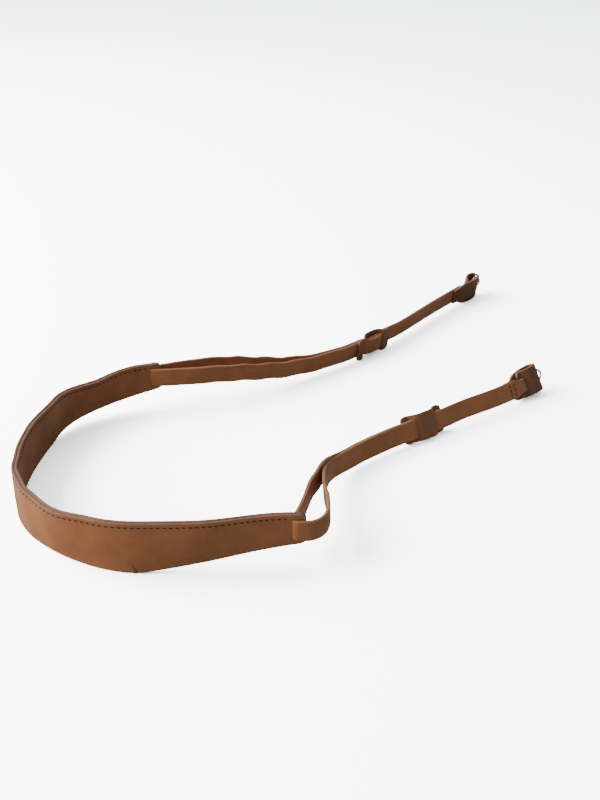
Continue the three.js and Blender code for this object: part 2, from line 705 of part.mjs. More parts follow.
const padRoute = makeRoute({ x: 0, y: 0 }, THREE.MathUtils.degToRad(PAD_HEADING), 0, PAD_LENGTH, PAD_BENDS);
const nearBar = padRoute(PAD_END_BAR);
const nearSide = makeStrapSide(NEAR, { ...nearBar, heading: nearBar.heading - Math.PI });
const farSide = makeStrapSide(FAR, padRoute(PAD_LENGTH - PAD_END_BAR));
const pad = makePad(padRoute, [nearSide.slitCutter, farSide.slitCutter]);

const neckStrap = new THREE.Group();
neckStrap.name = 'camera_neck_strap';
neckStrap.add(makeMesh('neck_pad', pad, PAD_LEATHER), ...nearSide.meshes, ...farSide.meshes);

const box = new THREE.Box3().setFromObject(neckStrap);
const centre = box.getCenter(new THREE.Vector3());
neckStrap.position.set(-centre.x, -centre.y, -box.min.z);

export default neckStrap;
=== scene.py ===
"""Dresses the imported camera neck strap: fine leather, thread and wire meshes with their materials,
on a plain pale surface. Lengths are in metres, in the part's own frame."""

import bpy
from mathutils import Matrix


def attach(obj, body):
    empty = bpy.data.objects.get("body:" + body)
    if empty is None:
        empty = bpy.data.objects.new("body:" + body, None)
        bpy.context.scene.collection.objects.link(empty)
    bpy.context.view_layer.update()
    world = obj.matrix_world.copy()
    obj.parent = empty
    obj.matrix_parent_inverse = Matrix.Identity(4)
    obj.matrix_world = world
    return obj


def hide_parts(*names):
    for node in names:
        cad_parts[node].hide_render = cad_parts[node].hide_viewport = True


bl_info = {
    "name": "Camera Neck Strap",
    "version": (1, 0, 0),
    "blender": (4, 5, 0),
    "location": "3D Viewport > Sidebar > Neck Strap",
    "description": "Builds a leather camera neck strap over its packed CAD part",
    "category": "Object",
}

from math import atan2, cos, pi, radians, sin, sqrt, tan

import bpy
import numpy as np
from mathutils import Vector, geometry, noise

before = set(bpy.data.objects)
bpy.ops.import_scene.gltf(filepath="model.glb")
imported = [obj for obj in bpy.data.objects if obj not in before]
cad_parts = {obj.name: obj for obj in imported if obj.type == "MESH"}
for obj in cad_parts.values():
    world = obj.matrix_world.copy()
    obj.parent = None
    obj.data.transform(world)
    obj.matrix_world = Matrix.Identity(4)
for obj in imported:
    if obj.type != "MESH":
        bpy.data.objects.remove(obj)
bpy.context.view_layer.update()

# Driving sizes, the same as the part's own
PAD_START = (0.002660, -0.217705)
PAD_LENGTH = 0.430
PAD_WIDTH = 0.040
PAD_END_WIDTH = 0.0225
PAD_WALL = 0.0019
PAD_HALF = 0.0021
PAD_CORNER = 0.004
PAD_END_BAR = 0.005
NEAR_LENGTH = 0.332
FAR_LENGTH = 0.378
STRAP_WIDTH = 0.015
STRAP_THICKNESS = 0.0023
STRAP_WEAVE = 0.0014
STRAND_WIDTH = 0.011
SLIDER_LENGTH = 0.041
SLIDER_HEIGHT = 0.022
SLIDER_WALL = 0.0017
SLIDER_CORNER = 0.0035
BRIDGE_LENGTH = 0.022
BRIDGE_BOW = 0.0012
BRIDGE_EASE = 0.0026
FLAP_REACH = 0.0175
FLAP_WIDTH = 0.023
FLAP_WALL = 0.0019
FLAP_CORNER = 0.004
RING_WIRE = 0.0019
RING_BAR = 0.019
RING_DEPTH = 0.016
RING_CORNER = 0.003
GAP = 0.0003
SLIDER_PLAY = 0.0005

# Play of the slits, less than the part's own so that no light shows through them
SLIT_PLAY = 0.00012
SLIT_EASE = 0.0002
CUT_PAST = 0.001

# Sizes that follow from these
WRAP_RADIUS = PAD_HALF + GAP + STRAP_THICKNESS / 2
LEG_STEP = STRAP_THICKNESS + GAP
TAB_OFFSET = LEG_STEP + (STRAP_THICKNESS + SLIDER_WALL) / 2 + SLIDER_PLAY - STRAP_WEAVE
BRIDGE_OFFSET = (STRAP_THICKNESS + SLIDER_WALL) / 2 + SLIDER_PLAY - STRAP_WEAVE
LAYER = (STRAP_THICKNESS + FLAP_WALL) / 2 + GAP
RING_LOOP = (RING_WIRE + STRAP_THICKNESS) / 2 + GAP
FLAP_LOOP = RING_LOOP + LAYER
STACK = TAB_OFFSET + SLIDER_WALL / 2

# Courses seen from above: (share of the length, turn in degrees, a right turn negative)
PAD_HEADING = 181.2
PAD_BENDS = [
    (0.067, 3), (0.070, 4.7), (0.102, -6.6), (0.028, -9.6), (0.060, -16.7), (0.116, -19.3),
    (0.107, -35.9), (0.107, -16.9), (0.107, -7.2), (0.140, -60.4), (0.058, 1.2), (0.038, 3.7),
]
NEAR_BENDS = [
    (0.025, 34.6), (0.03, 31.4), (0.035, 19.7), (0.04, 8.1), (0.05, -2.3), (0.08, -11.9),
    (0.11, -25.6), (0.095, -16.7), (0.164, -3.3), (0.139, 1.1), (0.095, -7.3), (0.07, 4.8),
    (0.06, 4), (0.04, 11), (0.05, 0),
]
FAR_BENDS = [
    (0.04, 1.7), (0.06, -0.3), (0.08, -1.2), (0.1, 1.1), (0.12, 13.2), (0.15, 11.2), (0.15, 6.4),
    (0.15, -1.5), (0.15, -2),
]

# The pad's fold: (share of the length, rise as a share of the width that the ends lose)
PAD_FOLD = [(0, 1), (0.251, 0.006), (0.257, 0), (0.748, 0), (0.754, 0.006), (1, 1)]

# How the pad's upper edge leans towards the inside of the loop: (share of the length, degrees)
PAD_LEAN = [
    (0.04, 0), (0.14, -4.6), (0.25, -1.5), (0.32, -3.6), (0.38, -8.1), (0.45, -3.2), (0.495, 0),
    (0.515, 0), (0.56, 3.1), (0.65, 4.9), (0.75, 9.7), (0.86, 17.5), (0.96, 0),
]

# Stance of the narrow straps: (share of the length, height between resting and slit, lean in degrees)
NEAR_STANCE = [
    (0, 1, 0), (0.06, 1, 0), (0.12, 1.06, 2), (0.20, 0.79, 5), (0.40, 0, 16.6), (0.55, 0, 24),
    (0.70, 0, 23.4), (0.85, 0, 25.5), (1, 0, 29),
]
FAR_STANCE = [
    (0, 1, 0), (0.05, 1, 0), (0.12, 0.95, 1.5), (0.18, 0.79, 2.5), (0.24, 0.54, 3.5), (0.30, 0.29, 5),
    (0.38, 0.1, 6.5), (0.50, 0, 9), (0.65, 0, 9), (1, 0, 8.3),
]

# Folds of the ring end: (back from the ring's bar in reaches, out in layers, share of the flap's width
# over the strap's)
STRAND_FOLDS = [(0.30, -0.55), (0.50, 0.02), (0.66, 0.22), (0.88, -0.30), (1.15, -0.30)]
STRAND_TAIL = (0.40, 1.08)
STRAND_STRAIGHT = 1.7
STRAND_LEAD = 0.3
STRAND_TAPER = (1.05, 1.55)
FLAP_OUTER = [(1.10, 0.74, 1), (0.96, 0.72, 1), (0.80, 0.62, 1), (0.62, -0.55, 1), (0.40, -1.62, 1)]
FLAP_INNER = [
    (0.40, 2.36, 1), (0.75, 2.18, 1), (1.08, 1.80, 1), (1.36, 1.50, 0.75), (1.68, 1.06, 0.12),
    (1.88, 1.02, 0), (2.10, 1.02, 0),
]
FLAP_BELLY = max(row[1] for row in FLAP_INNER) * LAYER + FLAP_WALL / 2

# The strap lies flat behind this share of the bridge to each side, and then swings out. Halfway to
# its slits the bridge still has this share of its bow.
WEAVE_FLAT = 0.1
BRIDGE_BOW_SHARE = 0.8

# A strap goes from the slider's rest height to the flap's between this share of its length past the
# slider and this share of the whole
REST_AFTER = 0.1
REST_UNTIL = 0.9

# Steps of the meshes (BEND_STEP in degrees), and what is left free where two stretches join
SPLINE_SAMPLES = 60
HALF_TURN_STEPS = 24
FOLD_STEPS = 90
SWING_STEPS = 90
BEND_STEP = 5
STATION_CLEAR = 0.001
MEET_CLEAR = 0.0015
SLIDER_STEPS = 130
CHANNEL_STEPS = 44
FLAP_STEPS = 150
CORNER_STEPS = 12
RING_STEP = 0.0012
RING_SIDES = 20
PAD_SECTIONS = 216
LEAST_STEP = 0.00005
SHARP_ANGLE = radians(38)

# Rounding of the leather: shares of a strip's rounded end, and of the pad's corner, that get a section
END_ROUND = 0.0004
END_SHARES = (0.0, 0.08, 0.3, 0.6, 1.0)
PAD_CORNER_SHARES = (0, 0.02, 0.06, 0.13, 0.22, 0.35, 0.5, 0.7, 0.85, 1)
SLIT_ROUND = 0.0002
MOUTH_ROUND = 0.0006

# The pad's section: fine rows above its fold and down its seam, and the slot between its walls
FOLD_ROUND = 0.8
FOLD_FINE = 0.0049
FOLD_ROWS = 0.007
SEAM_ROWS = (0.0050, 0.0044, 0.0040, 0.0037, 0.0034, 0.0032, 0.0030, 0.0028, 0.0026, 0.0023, 0.0020,
             0.0016, 0.0011)
SEAM_REACH = 0.0008
SEAM_DEPTH = 0.00022
SEAM_START = 0.011
SEAM_FADE = 0.003
SLOT = 0.00012
SLOT_ROUND = 0.0004
SLOT_LIP = 0.001
SLOT_FLOOR = PAD_WALL * 1.1

# Life of the leather: swelling and waviness of the pad and of the straps, in waves per metre
PAD_SWELL = 0.0004
PAD_RIPPLE = 0.00012
SWELL_START = 0.04
SWELL_FADE = 0.05
STRAP_WAVE = 0.0001
EDGE_WAVES = 40
FACE_WAVES = 30
STRAP_EDGE_WAVES = 45
STRAP_FACE_WAVES = 60

# Pleats at the lower corners of the pad's fold
PLEAT_PLACES = (0.252, 0.753)
PLEAT_TOP = (0.0030, 0.0062)
PLEAT_WIDTH = 0.0007
PLEAT_DEPTH = 0.0013
PLEAT_FADE = 0.7
PLEAT_REACH = (0.006, 0.008)
PLEAT_STEP = 0.0003
PLEAT_STEPS = 18

# Sewing: the seam along the pad, and the cross rows behind each end flap
SEAM_ENDS = 0.0135
SEAM_WANDER = 0.00008
SEAM_SLANT = 0.05
SEAM_SINK = 0.00014
CROSS_ROWS = (0.0285, 0.0335)
CROSS_HEIGHTS = (0.0035, 0.0075, 0.0115)
CROSS_LENGTH = 0.0037
CROSS_THREAD = 1.2
CROSS_SINK = 0.00002
STITCH_STEPS = 8
THREAD_SIDES = 8
THREAD_FLAT = 0.75

# The edges that go with each leather, and how rough the leather is
FINISHES = {
    "pad": ("Pad edge", 0.52), "strap": ("Cut edge", 0.50), "slider": ("Pad edge", 0.54),
    "flap": ("Cut edge", 0.54),
}

# Tones as factors of a colour: dark and light of its clouds, and rubbed edges
LEATHER_TONES = (0.72, 1.12, 1.25)
EDGE_TONES = (0.62, 1.15)
THREAD_TONES = (0.6, 1.5)
WIRE_TONES = (0.86, 1.0)
LEATHER_WEAR = 0.5
LEATHER_CLOUD = 0.5

# Pores of a cut edge against the leather's, and how deep the textures press in
EDGE_PORES = 1.6
EDGE_DENT = 0.0001
THREAD_DENT = 0.00006
WIRE_DENT = 0.00001

# Surface and room are exposed to near white as the camera sees them, and light the leather less
SURFACE_REACH = 9.0
SURFACE_SEEN = 5.6
SURFACE_BOUNCE = 0.40
WORLD_STRENGTH = 0.50
WORLD_SEEN = 6.0
WORLD_COLOUR = (0.84, 0.94, 1.0)

# Lights: (name, place, size, power, colour), all aimed at one point
LIGHTS = [
    ("key", (-1.65, -0.06, 1.05), (1.8, 1.8), 108, (1.0, 0.975, 0.93)),
    ("top", (0.1, 0.6, 2.2), (2.4, 2.4), 14, (1.0, 1.0, 1.0)),
]
LIGHTS_AIM = Vector((0, 0, 0.02))

# The photo's viewpoint
CAMERA_PLACE = (-0.001513, -0.765686, 0.4274)
CAMERA_TILT = 60.9
CAMERA_LENS = 47.25
CAMERA_SENSOR = 36.0

FACE, EDGE = 0, 1
UP = Vector((0, 0, 1))
MM = 1000


# Settings that a user would change


def length_property(label, description, default, low, high):
    return bpy.props.FloatProperty(
        name=label, description=description, default=default, min=low, max=high, unit="LENGTH", precision=5)


class NeckStrapSizes(bpy.types.PropertyGroup):
    """Sizes of the sewing and of the leather's finish."""

    stitch_pitch: length_property("Stitch pitch", "From one stitch to the next", 0.004, 0.002, 0.008)
    stitch_length: length_property("Stitch length", "How much of a stitch shows", 0.0027, 0.001, 0.006)
    stitch_inset: length_property("Seam inset", "From the pad's upper edge to its seam", 0.003, 0.002, 0.006)
    thread_width: length_property("Thread width", "Width of the sewing thread", 0.0008, 0.0003, 0.0015)
    edge_round: length_property("Edge rounding", "Radius of the burnished edges", 0.0005, 0.0001, 0.0009)
    step: length_property("Mesh step", "Between sections along a strap", 0.0015, 0.0005, 0.005)
    grain_size: length_property("Grain size", "Size of the leather's pores", 0.0007, 0.0002, 0.004)
    grain_depth: length_property("Grain depth", "Depth of the leather's pores", 0.00004, 0, 0.0005)


def colour_property(label, description, default):
    return bpy.props.FloatVectorProperty(
        name=label, description=description, subtype="COLOR", size=3, min=0, max=1, default=default)


class NeckStrapColours(bpy.types.PropertyGroup):
    """Colours of the finishes."""

    pad: colour_property("Pad leather", "Grain side of the neck pad", (0.275, 0.102, 0.038))
    strap: colour_property("Strap leather", "Grain side of the narrow straps", (0.285, 0.107, 0.041))
    slider: colour_property("Slider leather", "Grain side of the sliders", (0.195, 0.077, 0.032))
    # The end flaps are of the sliders' leather; their colour is set darker than the sliders' as painted
    # shade
    flap: colour_property("Flap leather", "Grain side of the end flaps", (0.130, 0.055, 0.026))
    cut_edge: colour_property("Cut edges", "Edges of the leather", (0.245, 0.100, 0.046))
    pad_edge: colour_property("Pad edges", "Sewn edge and ends of the neck pad", (0.150, 0.064, 0.032))
    thread: colour_property("Thread", "Sewing thread", (0.050, 0.022, 0.012))
    wire: colour_property("Ring wire", "Bright wire of the end rings", (0.78, 0.78, 0.79))
    surface: colour_property("Surface", "The surface that the strap lies on", (0.86, 0.86, 0.86))


# Courses and stances


def follow(arc, run):
    _, x, y, heading, curve = arc
    half = curve * run / 2
    chord = run if abs(half) < 1e-9 else run * sin(half) / half
    return x + chord * cos(heading + half), y + chord * sin(heading + half), heading + 2 * half


def make_course(start, heading, lead, length, bends):
    """A course of a straight lead and then arcs, as a function of the length along it."""
    arcs = [(0.0, start[0], start[1], heading, 0.0)]
    whole = sum(share for share, _ in bends)
    begin = lead
    for share, turn in bends:
        run = (length - lead) * share / whole
        joint = follow(arcs[-1], begin - arcs[-1][0])
        arcs.append((begin, *joint, radians(turn) / run))
        begin += run

    def at(s):
        arc = next((a for a in reversed(arcs) if a[0] <= s), arcs[0])
        return follow(arc, s - arc[0])

    return at


def eased(t):
    t = min(max(t, 0.0), 1.0)
    return t * t * (3 - 2 * t)


def column(rows, index, share, ease=eased):
    """A table's column at a share, eased or straight between its rows."""
    share = min(max(share, rows[0][0]), rows[-1][0])
    i = next((i for i in range(1, len(rows)) if rows[i][0] >= share), len(rows) - 1)
    a, b = rows[i - 1], rows[i]
    t = ease((share - a[0]) / (b[0] - a[0]))
    return a[index] + (b[index] - a[index]) * t


def straight(t):
    return t


def corner_inset(radius, distance):
    """How much a rounded corner takes off a side at a distance from the end."""
    rest = min(max(radius - distance, 0.0), radius)
    return radius - sqrt(radius * radius - rest * rest)


class StrapSide:
    """One narrow strap's course. place(s, n, u) takes a length along its outer leg, an offset
    towards the inside of the loop and a height up the leaning strap to a point."""

    def __init__(self, name, pad_point, inside, length, bends, stance, slider, meet, wrap, leave, join):
        self.name, self.inside, self.length, self.stance_rows = name, inside, length, stance
        self.slider, self.meet, self.wrap = slider * length, meet * length, wrap
        self.slider_share, self.leave, self.join = slider, leave, join
        x, y, heading = pad_point
        start = (x + inside * WRAP_RADIUS * sin(heading), y - inside * WRAP_RADIUS * cos(heading))
        self.course = make_course(start, heading, PAD_END_BAR, length, bends)
        self.slit_height = PAD_WIDTH - (PAD_END_WIDTH + STRAP_WIDTH) / 2

    def rest_height(self, lean, tallness, reach):
        return (tallness - STRAP_WIDTH) / 2 * cos(lean) + reach * sin(lean)

    def stance(self, s):
        share = s / self.length
        lean = radians(column(self.stance_rows, 2, share))
        on_slider = self.rest_height(lean, SLIDER_HEIGHT, STACK)
        on_flap = self.rest_height(lean, FLAP_WIDTH, FLAP_BELLY)
        first = self.slider_share + REST_AFTER
        between = eased((share - first) / (REST_UNTIL - first))
        rest = on_slider + (on_flap - on_slider) * between
        return lean, rest + (self.slit_height - rest) * column(self.stance_rows, 1, share)

    def axes(self, s):
        x, y, heading = self.course(s)
        lean, height = self.stance(s)
        inward = Vector((-sin(heading), cos(heading), 0)) * self.inside
        up = UP * cos(lean) + inward * sin(lean)
        return Vector((x, y, height)), inward, up, Vector((cos(heading), sin(heading), 0)), lean

    def place(self, s, n, u):
        foot, inward, up, _, lean = self.axes(s)
        return foot + inward * (n * cos(lean)) - UP * (n * sin(lean)) + up * u

    def weave(self, s):
        """How far the strap lies inwards behind the slider's bridge, and outwards over its tabs."""
        off = abs(s - self.slider)
        tab = (SLIDER_LENGTH + BRIDGE_LENGTH) / 4
        flat = BRIDGE_LENGTH * WEAVE_FLAT
        out = eased((off - flat) / (tab - flat))
        back = eased((off - tab) / (SLIDER_LENGTH - tab))
        return STRAP_WEAVE * (1 - 2 * out + back)

    def station(self, s, n, low=0.0, high=STRAP_WIDTH):
        return self.place(s, n, 0), self.axes(s)[2], low, high

    def strand(self, s, n):
        """A station of the ring end, which is narrow inside the flap."""
        back = (self.length - s) / FLAP_REACH
        full = eased((back - STRAND_TAPER[0]) / (STRAND_TAPER[1] - STRAND_TAPER[0]))
        inset = (STRAP_WIDTH - STRAND_WIDTH) / 2 * (1 - full)
        return self.station(s, n, inset, STRAP_WIDTH - inset)


def run_lengths(points):
    """Length along a line of points, at each point."""
    return np.concatenate([[0], np.cumsum(np.linalg.norm(np.diff(points, axis=0), axis=1))])


def catmull_rom(points, count, spaced=False):
    """Points along a centripetal spline through the given ones."""
    points = [np.array(p, float) for p in points]
    ends = [2 * points[0] - points[1], *points, 2 * points[-1] - points[-2]]
    samples = max(count, SPLINE_SAMPLES * len(points)) if spaced else count
    line = []
    for k in range(samples + 1):
        whole = (len(points) - 1) * k / samples
        i = min(int(whole), len(points) - 2)
        t = whole - i
        x0, x1, x2, x3 = ends[i:i + 4]
        pairs = ((x0, x1), (x1, x2), (x2, x3))
        d0, d1, d2 = (max(np.sum((b - a) ** 2) ** 0.25, 1e-6) for a, b in pairs)
        m1 = ((x1 - x0) / d0 - (x2 - x0) / (d0 + d1) + (x2 - x1) / d1) * d1
        m2 = ((x2 - x1) / d1 - (x3 - x1) / (d1 + d2) + (x3 - x2) / d2) * d1
        square, cube = 3 * (x2 - x1) - 2 * m1 - m2, 2 * (x1 - x2) + m1 + m2
        line.append(x1 + m1 * t + square * t ** 2 + cube * t ** 3)
    line = np.array(line)
    if not spaced:
        return line
    lengths = run_lengths(line)
    at = np.linspace(0, lengths[-1], count + 1)
    return np.stack([np.interp(at, lengths, line[:, k]) for k in range(line.shape[1])], axis=1)


def ring_end(side):
    """The folded ring end of the strap, from its hidden tail round the ring's bar to the flap."""
    bar = side.length
    stations = [side.strand(bar - STRAND_TAIL[0] * FLAP_REACH, STRAND_TAIL[1] * LAYER)]
    for k in range(HALF_TURN_STEPS + 1):
        angle = pi * k / HALF_TURN_STEPS
        stations.append(side.strand(bar + RING_LOOP * sin(angle), RING_LOOP * cos(angle)))
    lead = bar - (STRAND_STRAIGHT + STRAND_LEAD) * FLAP_REACH
    folds = [(bar - back * FLAP_REACH, out * LAYER, 0) for back, out in STRAND_FOLDS]
    folds = [(bar, -RING_LOOP, 0), *folds, (bar - STRAND_STRAIGHT * FLAP_REACH, 0, 0), (lead, 0, 0)]
    stations += [side.strand(p[0], p[1]) for p in catmull_rom(folds, FOLD_STEPS)[1:]]
    return stations, lead


def slit_bend(side):
    """The bend through the pad's slit, round its end bar."""
    foot, inward, _, along, _ = side.axes(0)
    centre = foot + inward * WRAP_RADIUS
    steps = round(side.wrap / BEND_STEP)
    bend = []
    for k in range(steps + 1):
        angle = radians(side.wrap * k / steps)
        spoke = -inward * cos(angle) - along * sin(angle)
        bend.append((centre + spoke * WRAP_RADIUS, UP, 0.0, STRAP_WIDTH))
    return bend


def swing_back(side, bend):
    """The inner leg, from the slit to where it lies on the outer leg."""
    last = bend[-1][0]
    leaving = (last - bend[-2][0]).normalized()
    end = side.place(side.meet, LEG_STEP + side.weave(side.meet), 0)
    chord = (end - last).length
    a, b = last, last + leaving * (side.leave * chord)
    c, d = end - side.axes(side.meet)[3] * (side.join * chord), end
    leg = []
    for k in range(1, SWING_STEPS + 1):
        t = k / SWING_STEPS
        q = 1 - t
        foot = a * q ** 3 + b * 3 * q * q * t + c * 3 * q * t * t + d * t ** 3
        way = (b - a) * q * q + (c - b) * 2 * q * t + (d - c) * t * t
        on_leg, _, _, _, lean = side.axes(t * side.meet)
        foot.z = on_leg.z - t * LEG_STEP * sin(lean)
        way.z = 0
        way.normalize()
        inward = Vector((-way.y, way.x, 0)) * side.inside
        leg.append((foot, UP * cos(lean) + inward * sin(lean), 0.0, STRAP_WIDTH))
    return leg


def strap_stations(side, step):
    """Every station of a narrow strap, from its tail in the flap to its tail in the slider."""
    stations, start = ring_end(side)
    bend = slit_bend(side)
    outward = np.arange(start - STATION_CLEAR, STATION_CLEAR, -step)
    outer = [side.station(s, side.weave(s)) for s in outward]
    tail = side.slider + SLIDER_LENGTH / 2 - SLIDER_CORNER
    inward = np.arange(side.meet + MEET_CLEAR, tail, step)
    inner = [side.station(s, LEG_STEP + side.weave(s)) for s in inward]
    return [*stations, *outer, *bend, *swing_back(side, bend), *inner]


# Meshes


def arc_steps(count):
    return [pi / 2 * k / count for k in range(count + 1)]


def strip_outline(thickness, radius, rows):
    """A strip's section as rows of (across, share of the height, offset, region of the next side)."""
    half = thickness / 2
    flat = half - radius
    outline = []
    for sign in (1, -1):
        f0, f1 = (0, 1) if sign > 0 else (1, 0)
        for a in arc_steps(4):
            rise = radius - radius * cos(a)
            outline.append((sign * (flat + radius * sin(a)), f0, sign * rise, EDGE))
        outline[-1] = (*outline[-1][:3], FACE)
        for k in range(1, rows):
            t = k / rows
            f = t if sign > 0 else 1 - t
            outline.append((sign * half, f, sign * radius * (1 - 2 * t), FACE))
        for a in arc_steps(4):
            drop = radius - radius * sin(a)
            outline.append((sign * (flat + radius * cos(a)), f1, -sign * drop, EDGE))
    return outline


def build_mesh(name, rings, regions, along, across, caps=(), closed=False):
    """A mesh through like rings of points, with a layer of lengths along and shares across."""
    count, size = rings.shape[:2]
    steps = count if closed else count - 1
    faces, material, uv = [], [], []
    for i in range(steps):
        a, b = i * size, (i + 1) % count * size
        s0, s1 = along[i], along[i + 1] if i + 1 < count else along[-1]
        for j in range(size):
            k = (j + 1) % size
            faces.append((a + j, a + k, b + k, b + j))
            material.append(regions[j])
            v0, v1 = across[j], across[k]
            uv += [(s0, v0), (s0, v1), (s1, v1), (s1, v0)]
    for end, order in ((0, -1), ((count - 1) * size, 1)):
        for tri in caps:
            face = tuple(end + t for t in tri[::order])
            faces.append(face)
            material.append(EDGE)
            s = along[0] if end == 0 else along[-1]
            uv += [(s, across[t - end]) for t in face]
    mesh = bpy.data.meshes.new(name)
    mesh.from_pydata(rings.reshape(-1, 3).tolist(), [], faces)
    mesh.polygons.foreach_set("material_index", material)
    layer = mesh.uv_layers.new(name="Leather")
    layer.data.foreach_set("uv", np.array(uv, np.float32).ravel())
    return mesh


def make_object(mesh, materials=()):
    obj = bpy.data.objects.new(mesh.name, mesh)
    bpy.context.scene.collection.objects.link(obj)
    for material in materials:
        mesh.materials.append(material)
    return obj


def close_outwards(mesh):
    """Turns the faces outwards, and smooths all but the sharp corners."""
    mesh.update()
    co = np.array([v.co for v in mesh.vertices])
    volume = 0.0
    mesh.calc_loop_triangles()
    for tri in mesh.loop_triangles:
        p, q, r = co[list(tri.vertices)]
        volume += np.dot(p, np.cross(q, r))
    if volume < 0:
        mesh.flip_normals()
    mesh.polygons.foreach_set("use_smooth", [True] * len(mesh.polygons))
    mesh.set_sharp_from_angle(angle=SHARP_ANGLE)
    mesh.update()


def strip_mesh(name, stations, thickness, radius, ends=0.0, rows=10, wave=0.0):
    """A strip of leather along stations, with rounded edges and ends."""
    feet = np.array([s[0] for s in stations])
    ups = np.array([s[1] for s in stations])
    lows, highs = np.array([s[2] for s in stations]), np.array([s[3] for s in stations])
    along = run_lengths(feet)
    if ends > 0:
        extra = np.array(END_SHARES) * ends
        keep = along[(along > ends * 1.3) & (along < along[-1] - ends * 1.3)]
        at = np.concatenate([extra, keep, along[-1] - extra[::-1]])
        feet, ups = (np.stack([np.interp(at, along, a[:, k]) for k in range(3)], 1) for a in (feet, ups))
        lows, highs = np.interp(at, along, lows), np.interp(at, along, highs)
        along = at
    ways = np.gradient(feet, axis=0)
    sides = np.cross(ups, ways)
    sides /= np.linalg.norm(sides, axis=1)[:, None]
    outline = strip_outline(thickness, radius, rows)
    half = thickness / 2
    rings = []
    for i, s in enumerate(along):
        inset = corner_inset(ends, min(s, along[-1] - s)) if ends else 0.0
        squeeze = (half - inset) / half
        sway = wave * noise.noise(Vector((s * STRAP_EDGE_WAVES, 1.7, 0.3)))
        low, high = lows[i] + inset + sway, highs[i] - inset + sway * 0.7
        a = np.array([row[0] for row in outline]) * squeeze
        u = np.array([low + (high - low) * row[1] + row[2] for row in outline])
        if wave:
            rise = np.array([row[1] for row in outline])
            swell = np.array([noise.noise(Vector((s * STRAP_FACE_WAVES, r * 1.5, 4.1))) for r in rise])
            a = a + swell * wave * 0.6 * np.sin(pi * rise)
        rings.append(feet[i] + sides[i] * a[:, None] + ups[i] * u[:, None])
    rings = np.array(rings)
    caps = [(0, i, i + 1) for i in range(1, len(outline) - 1)]
    mesh = build_mesh(name, rings, [r[3] for r in outline], along, [r[1] for r in outline], caps)
    close_outwards(mesh)
    return mesh


def cut(obj, *cutters):
    """Takes the cutter meshes out of the piece."""
    for mesh in cutters:
        tool = make_object(mesh)
        change = obj.modifiers.new("cut", "BOOLEAN")
        change.operation, change.solver, change.object = "DIFFERENCE", "EXACT", tool
        graph = bpy.context.evaluated_depsgraph_get()
        result = bpy.data.meshes.new_from_object(obj.evaluated_get(graph), depsgraph=graph)
        obj.modifiers.clear()
        obj.data = result
        bpy.data.objects.remove(tool)
    obj.data.set_sharp_from_angle(angle=SHARP_ANGLE)


def near_stations(stations, point, reach):
    """The stations within reach of the point."""
    return [s for s in stations if (s[0] - point).length < reach]


def slit_mesh(stations, thickness=STRAP_THICKNESS):
    """A cutter for a slit that the stations run through, with play all round."""
    wide = [(foot, up, low - SLIT_EASE, high + SLIT_EASE) for foot, up, low, high in stations]
    return strip_mesh("slit", wide, thickness + 2 * SLIT_PLAY, SLIT_ROUND, rows=2)


pad_course = make_course(PAD_START, radians(PAD_HEADING), 0, PAD_LENGTH, PAD_BENDS)
near_bar = pad_course(PAD_END_BAR)
SIDES = [
    StrapSide("near", (near_bar[0], near_bar[1], near_bar[2] - pi), 1, NEAR_LENGTH, NEAR_BENDS,
              NEAR_STANCE, slider=0.625, meet=0.40, wrap=112, leave=0.40, join=0.30),
    StrapSide("far", pad_course(PAD_LENGTH - PAD_END_BAR), -1, FAR_LENGTH, FAR_BENDS,
              FAR_STANCE, slider=0.548, meet=0.45, wrap=163, leave=0.34, join=0.34),
]


def pad_slit(side, sizes):
    run = strap_stations(side, sizes.step)
    return slit_mesh(near_stations(run, side.place(0, WRAP_RADIUS, 0), PAD_END_BAR * 4))


# The neck pad


def pad_low(s):
    return (PAD_WIDTH - PAD_END_WIDTH) * column(PAD_FOLD, 1, s / PAD_LENGTH, straight)


def pad_outline(sizes):
    """The pad's section: rows of (across, share of the height, offset, region, depth of the seam)."""
    radius = sizes.edge_round
    half = []
    for a in arc_steps(8):
        half.append((PAD_HALF * sin(a) ** FOLD_ROUND, 0, PAD_HALF * (1 - cos(a) ** FOLD_ROUND), FACE, 0))
    for k in range(1, 10):
        half.append((PAD_HALF, 0, PAD_HALF + FOLD_FINE * k / 9, FACE, 0))
    for k in range(1, 8):
        t = k / 8
        half.append((PAD_HALF, t, FOLD_ROWS * (1 - t) - SEAM_ROWS[0] * t, FACE, 0))
    for down in SEAM_ROWS:
        off = min(abs(down - sizes.stitch_inset) / SEAM_REACH, 1)
        half.append((PAD_HALF, 1, -down, FACE, SEAM_DEPTH * cos(off * pi / 2)))
    for a in arc_steps(4):
        half.append((PAD_HALF - radius + radius * cos(a), 1, radius * (sin(a) - 1), EDGE, 0))
    for a in arc_steps(3):
        half.append((SLOT + SLOT_ROUND * (1 - sin(a)), 1, SLOT_ROUND * (cos(a) - 1), EDGE, 0))
    for t in (0.8, 0.5, 0.2):
        half.append((SLOT, t, -SLOT_LIP * t + SLOT_FLOOR * (1 - t), EDGE, 0))
    half.append((SLOT, 0, SLOT_FLOOR, EDGE, 0))
    other = [(-a, f, d, region, seam) for a, f, d, region, seam in reversed(half)]
    whole = half + other[:-1]
    regions = [row[3] for row in whole]
    return whole, regions


def pad_axes(s):
    """The pad's foot, and its directions along, across and up, where it leans."""
    x, y, heading = pad_course(s)
    lean = radians(column(PAD_LEAN, 1, s / PAD_LENGTH))
    outward = Vector((-sin(heading), cos(heading), 0))
    along = Vector((cos(heading), sin(heading), 0))
    across, upward = outward * cos(lean) + UP * sin(lean), UP * cos(lean) - outward * sin(lean)
    return Vector((x, y, 0)), along, across, upward


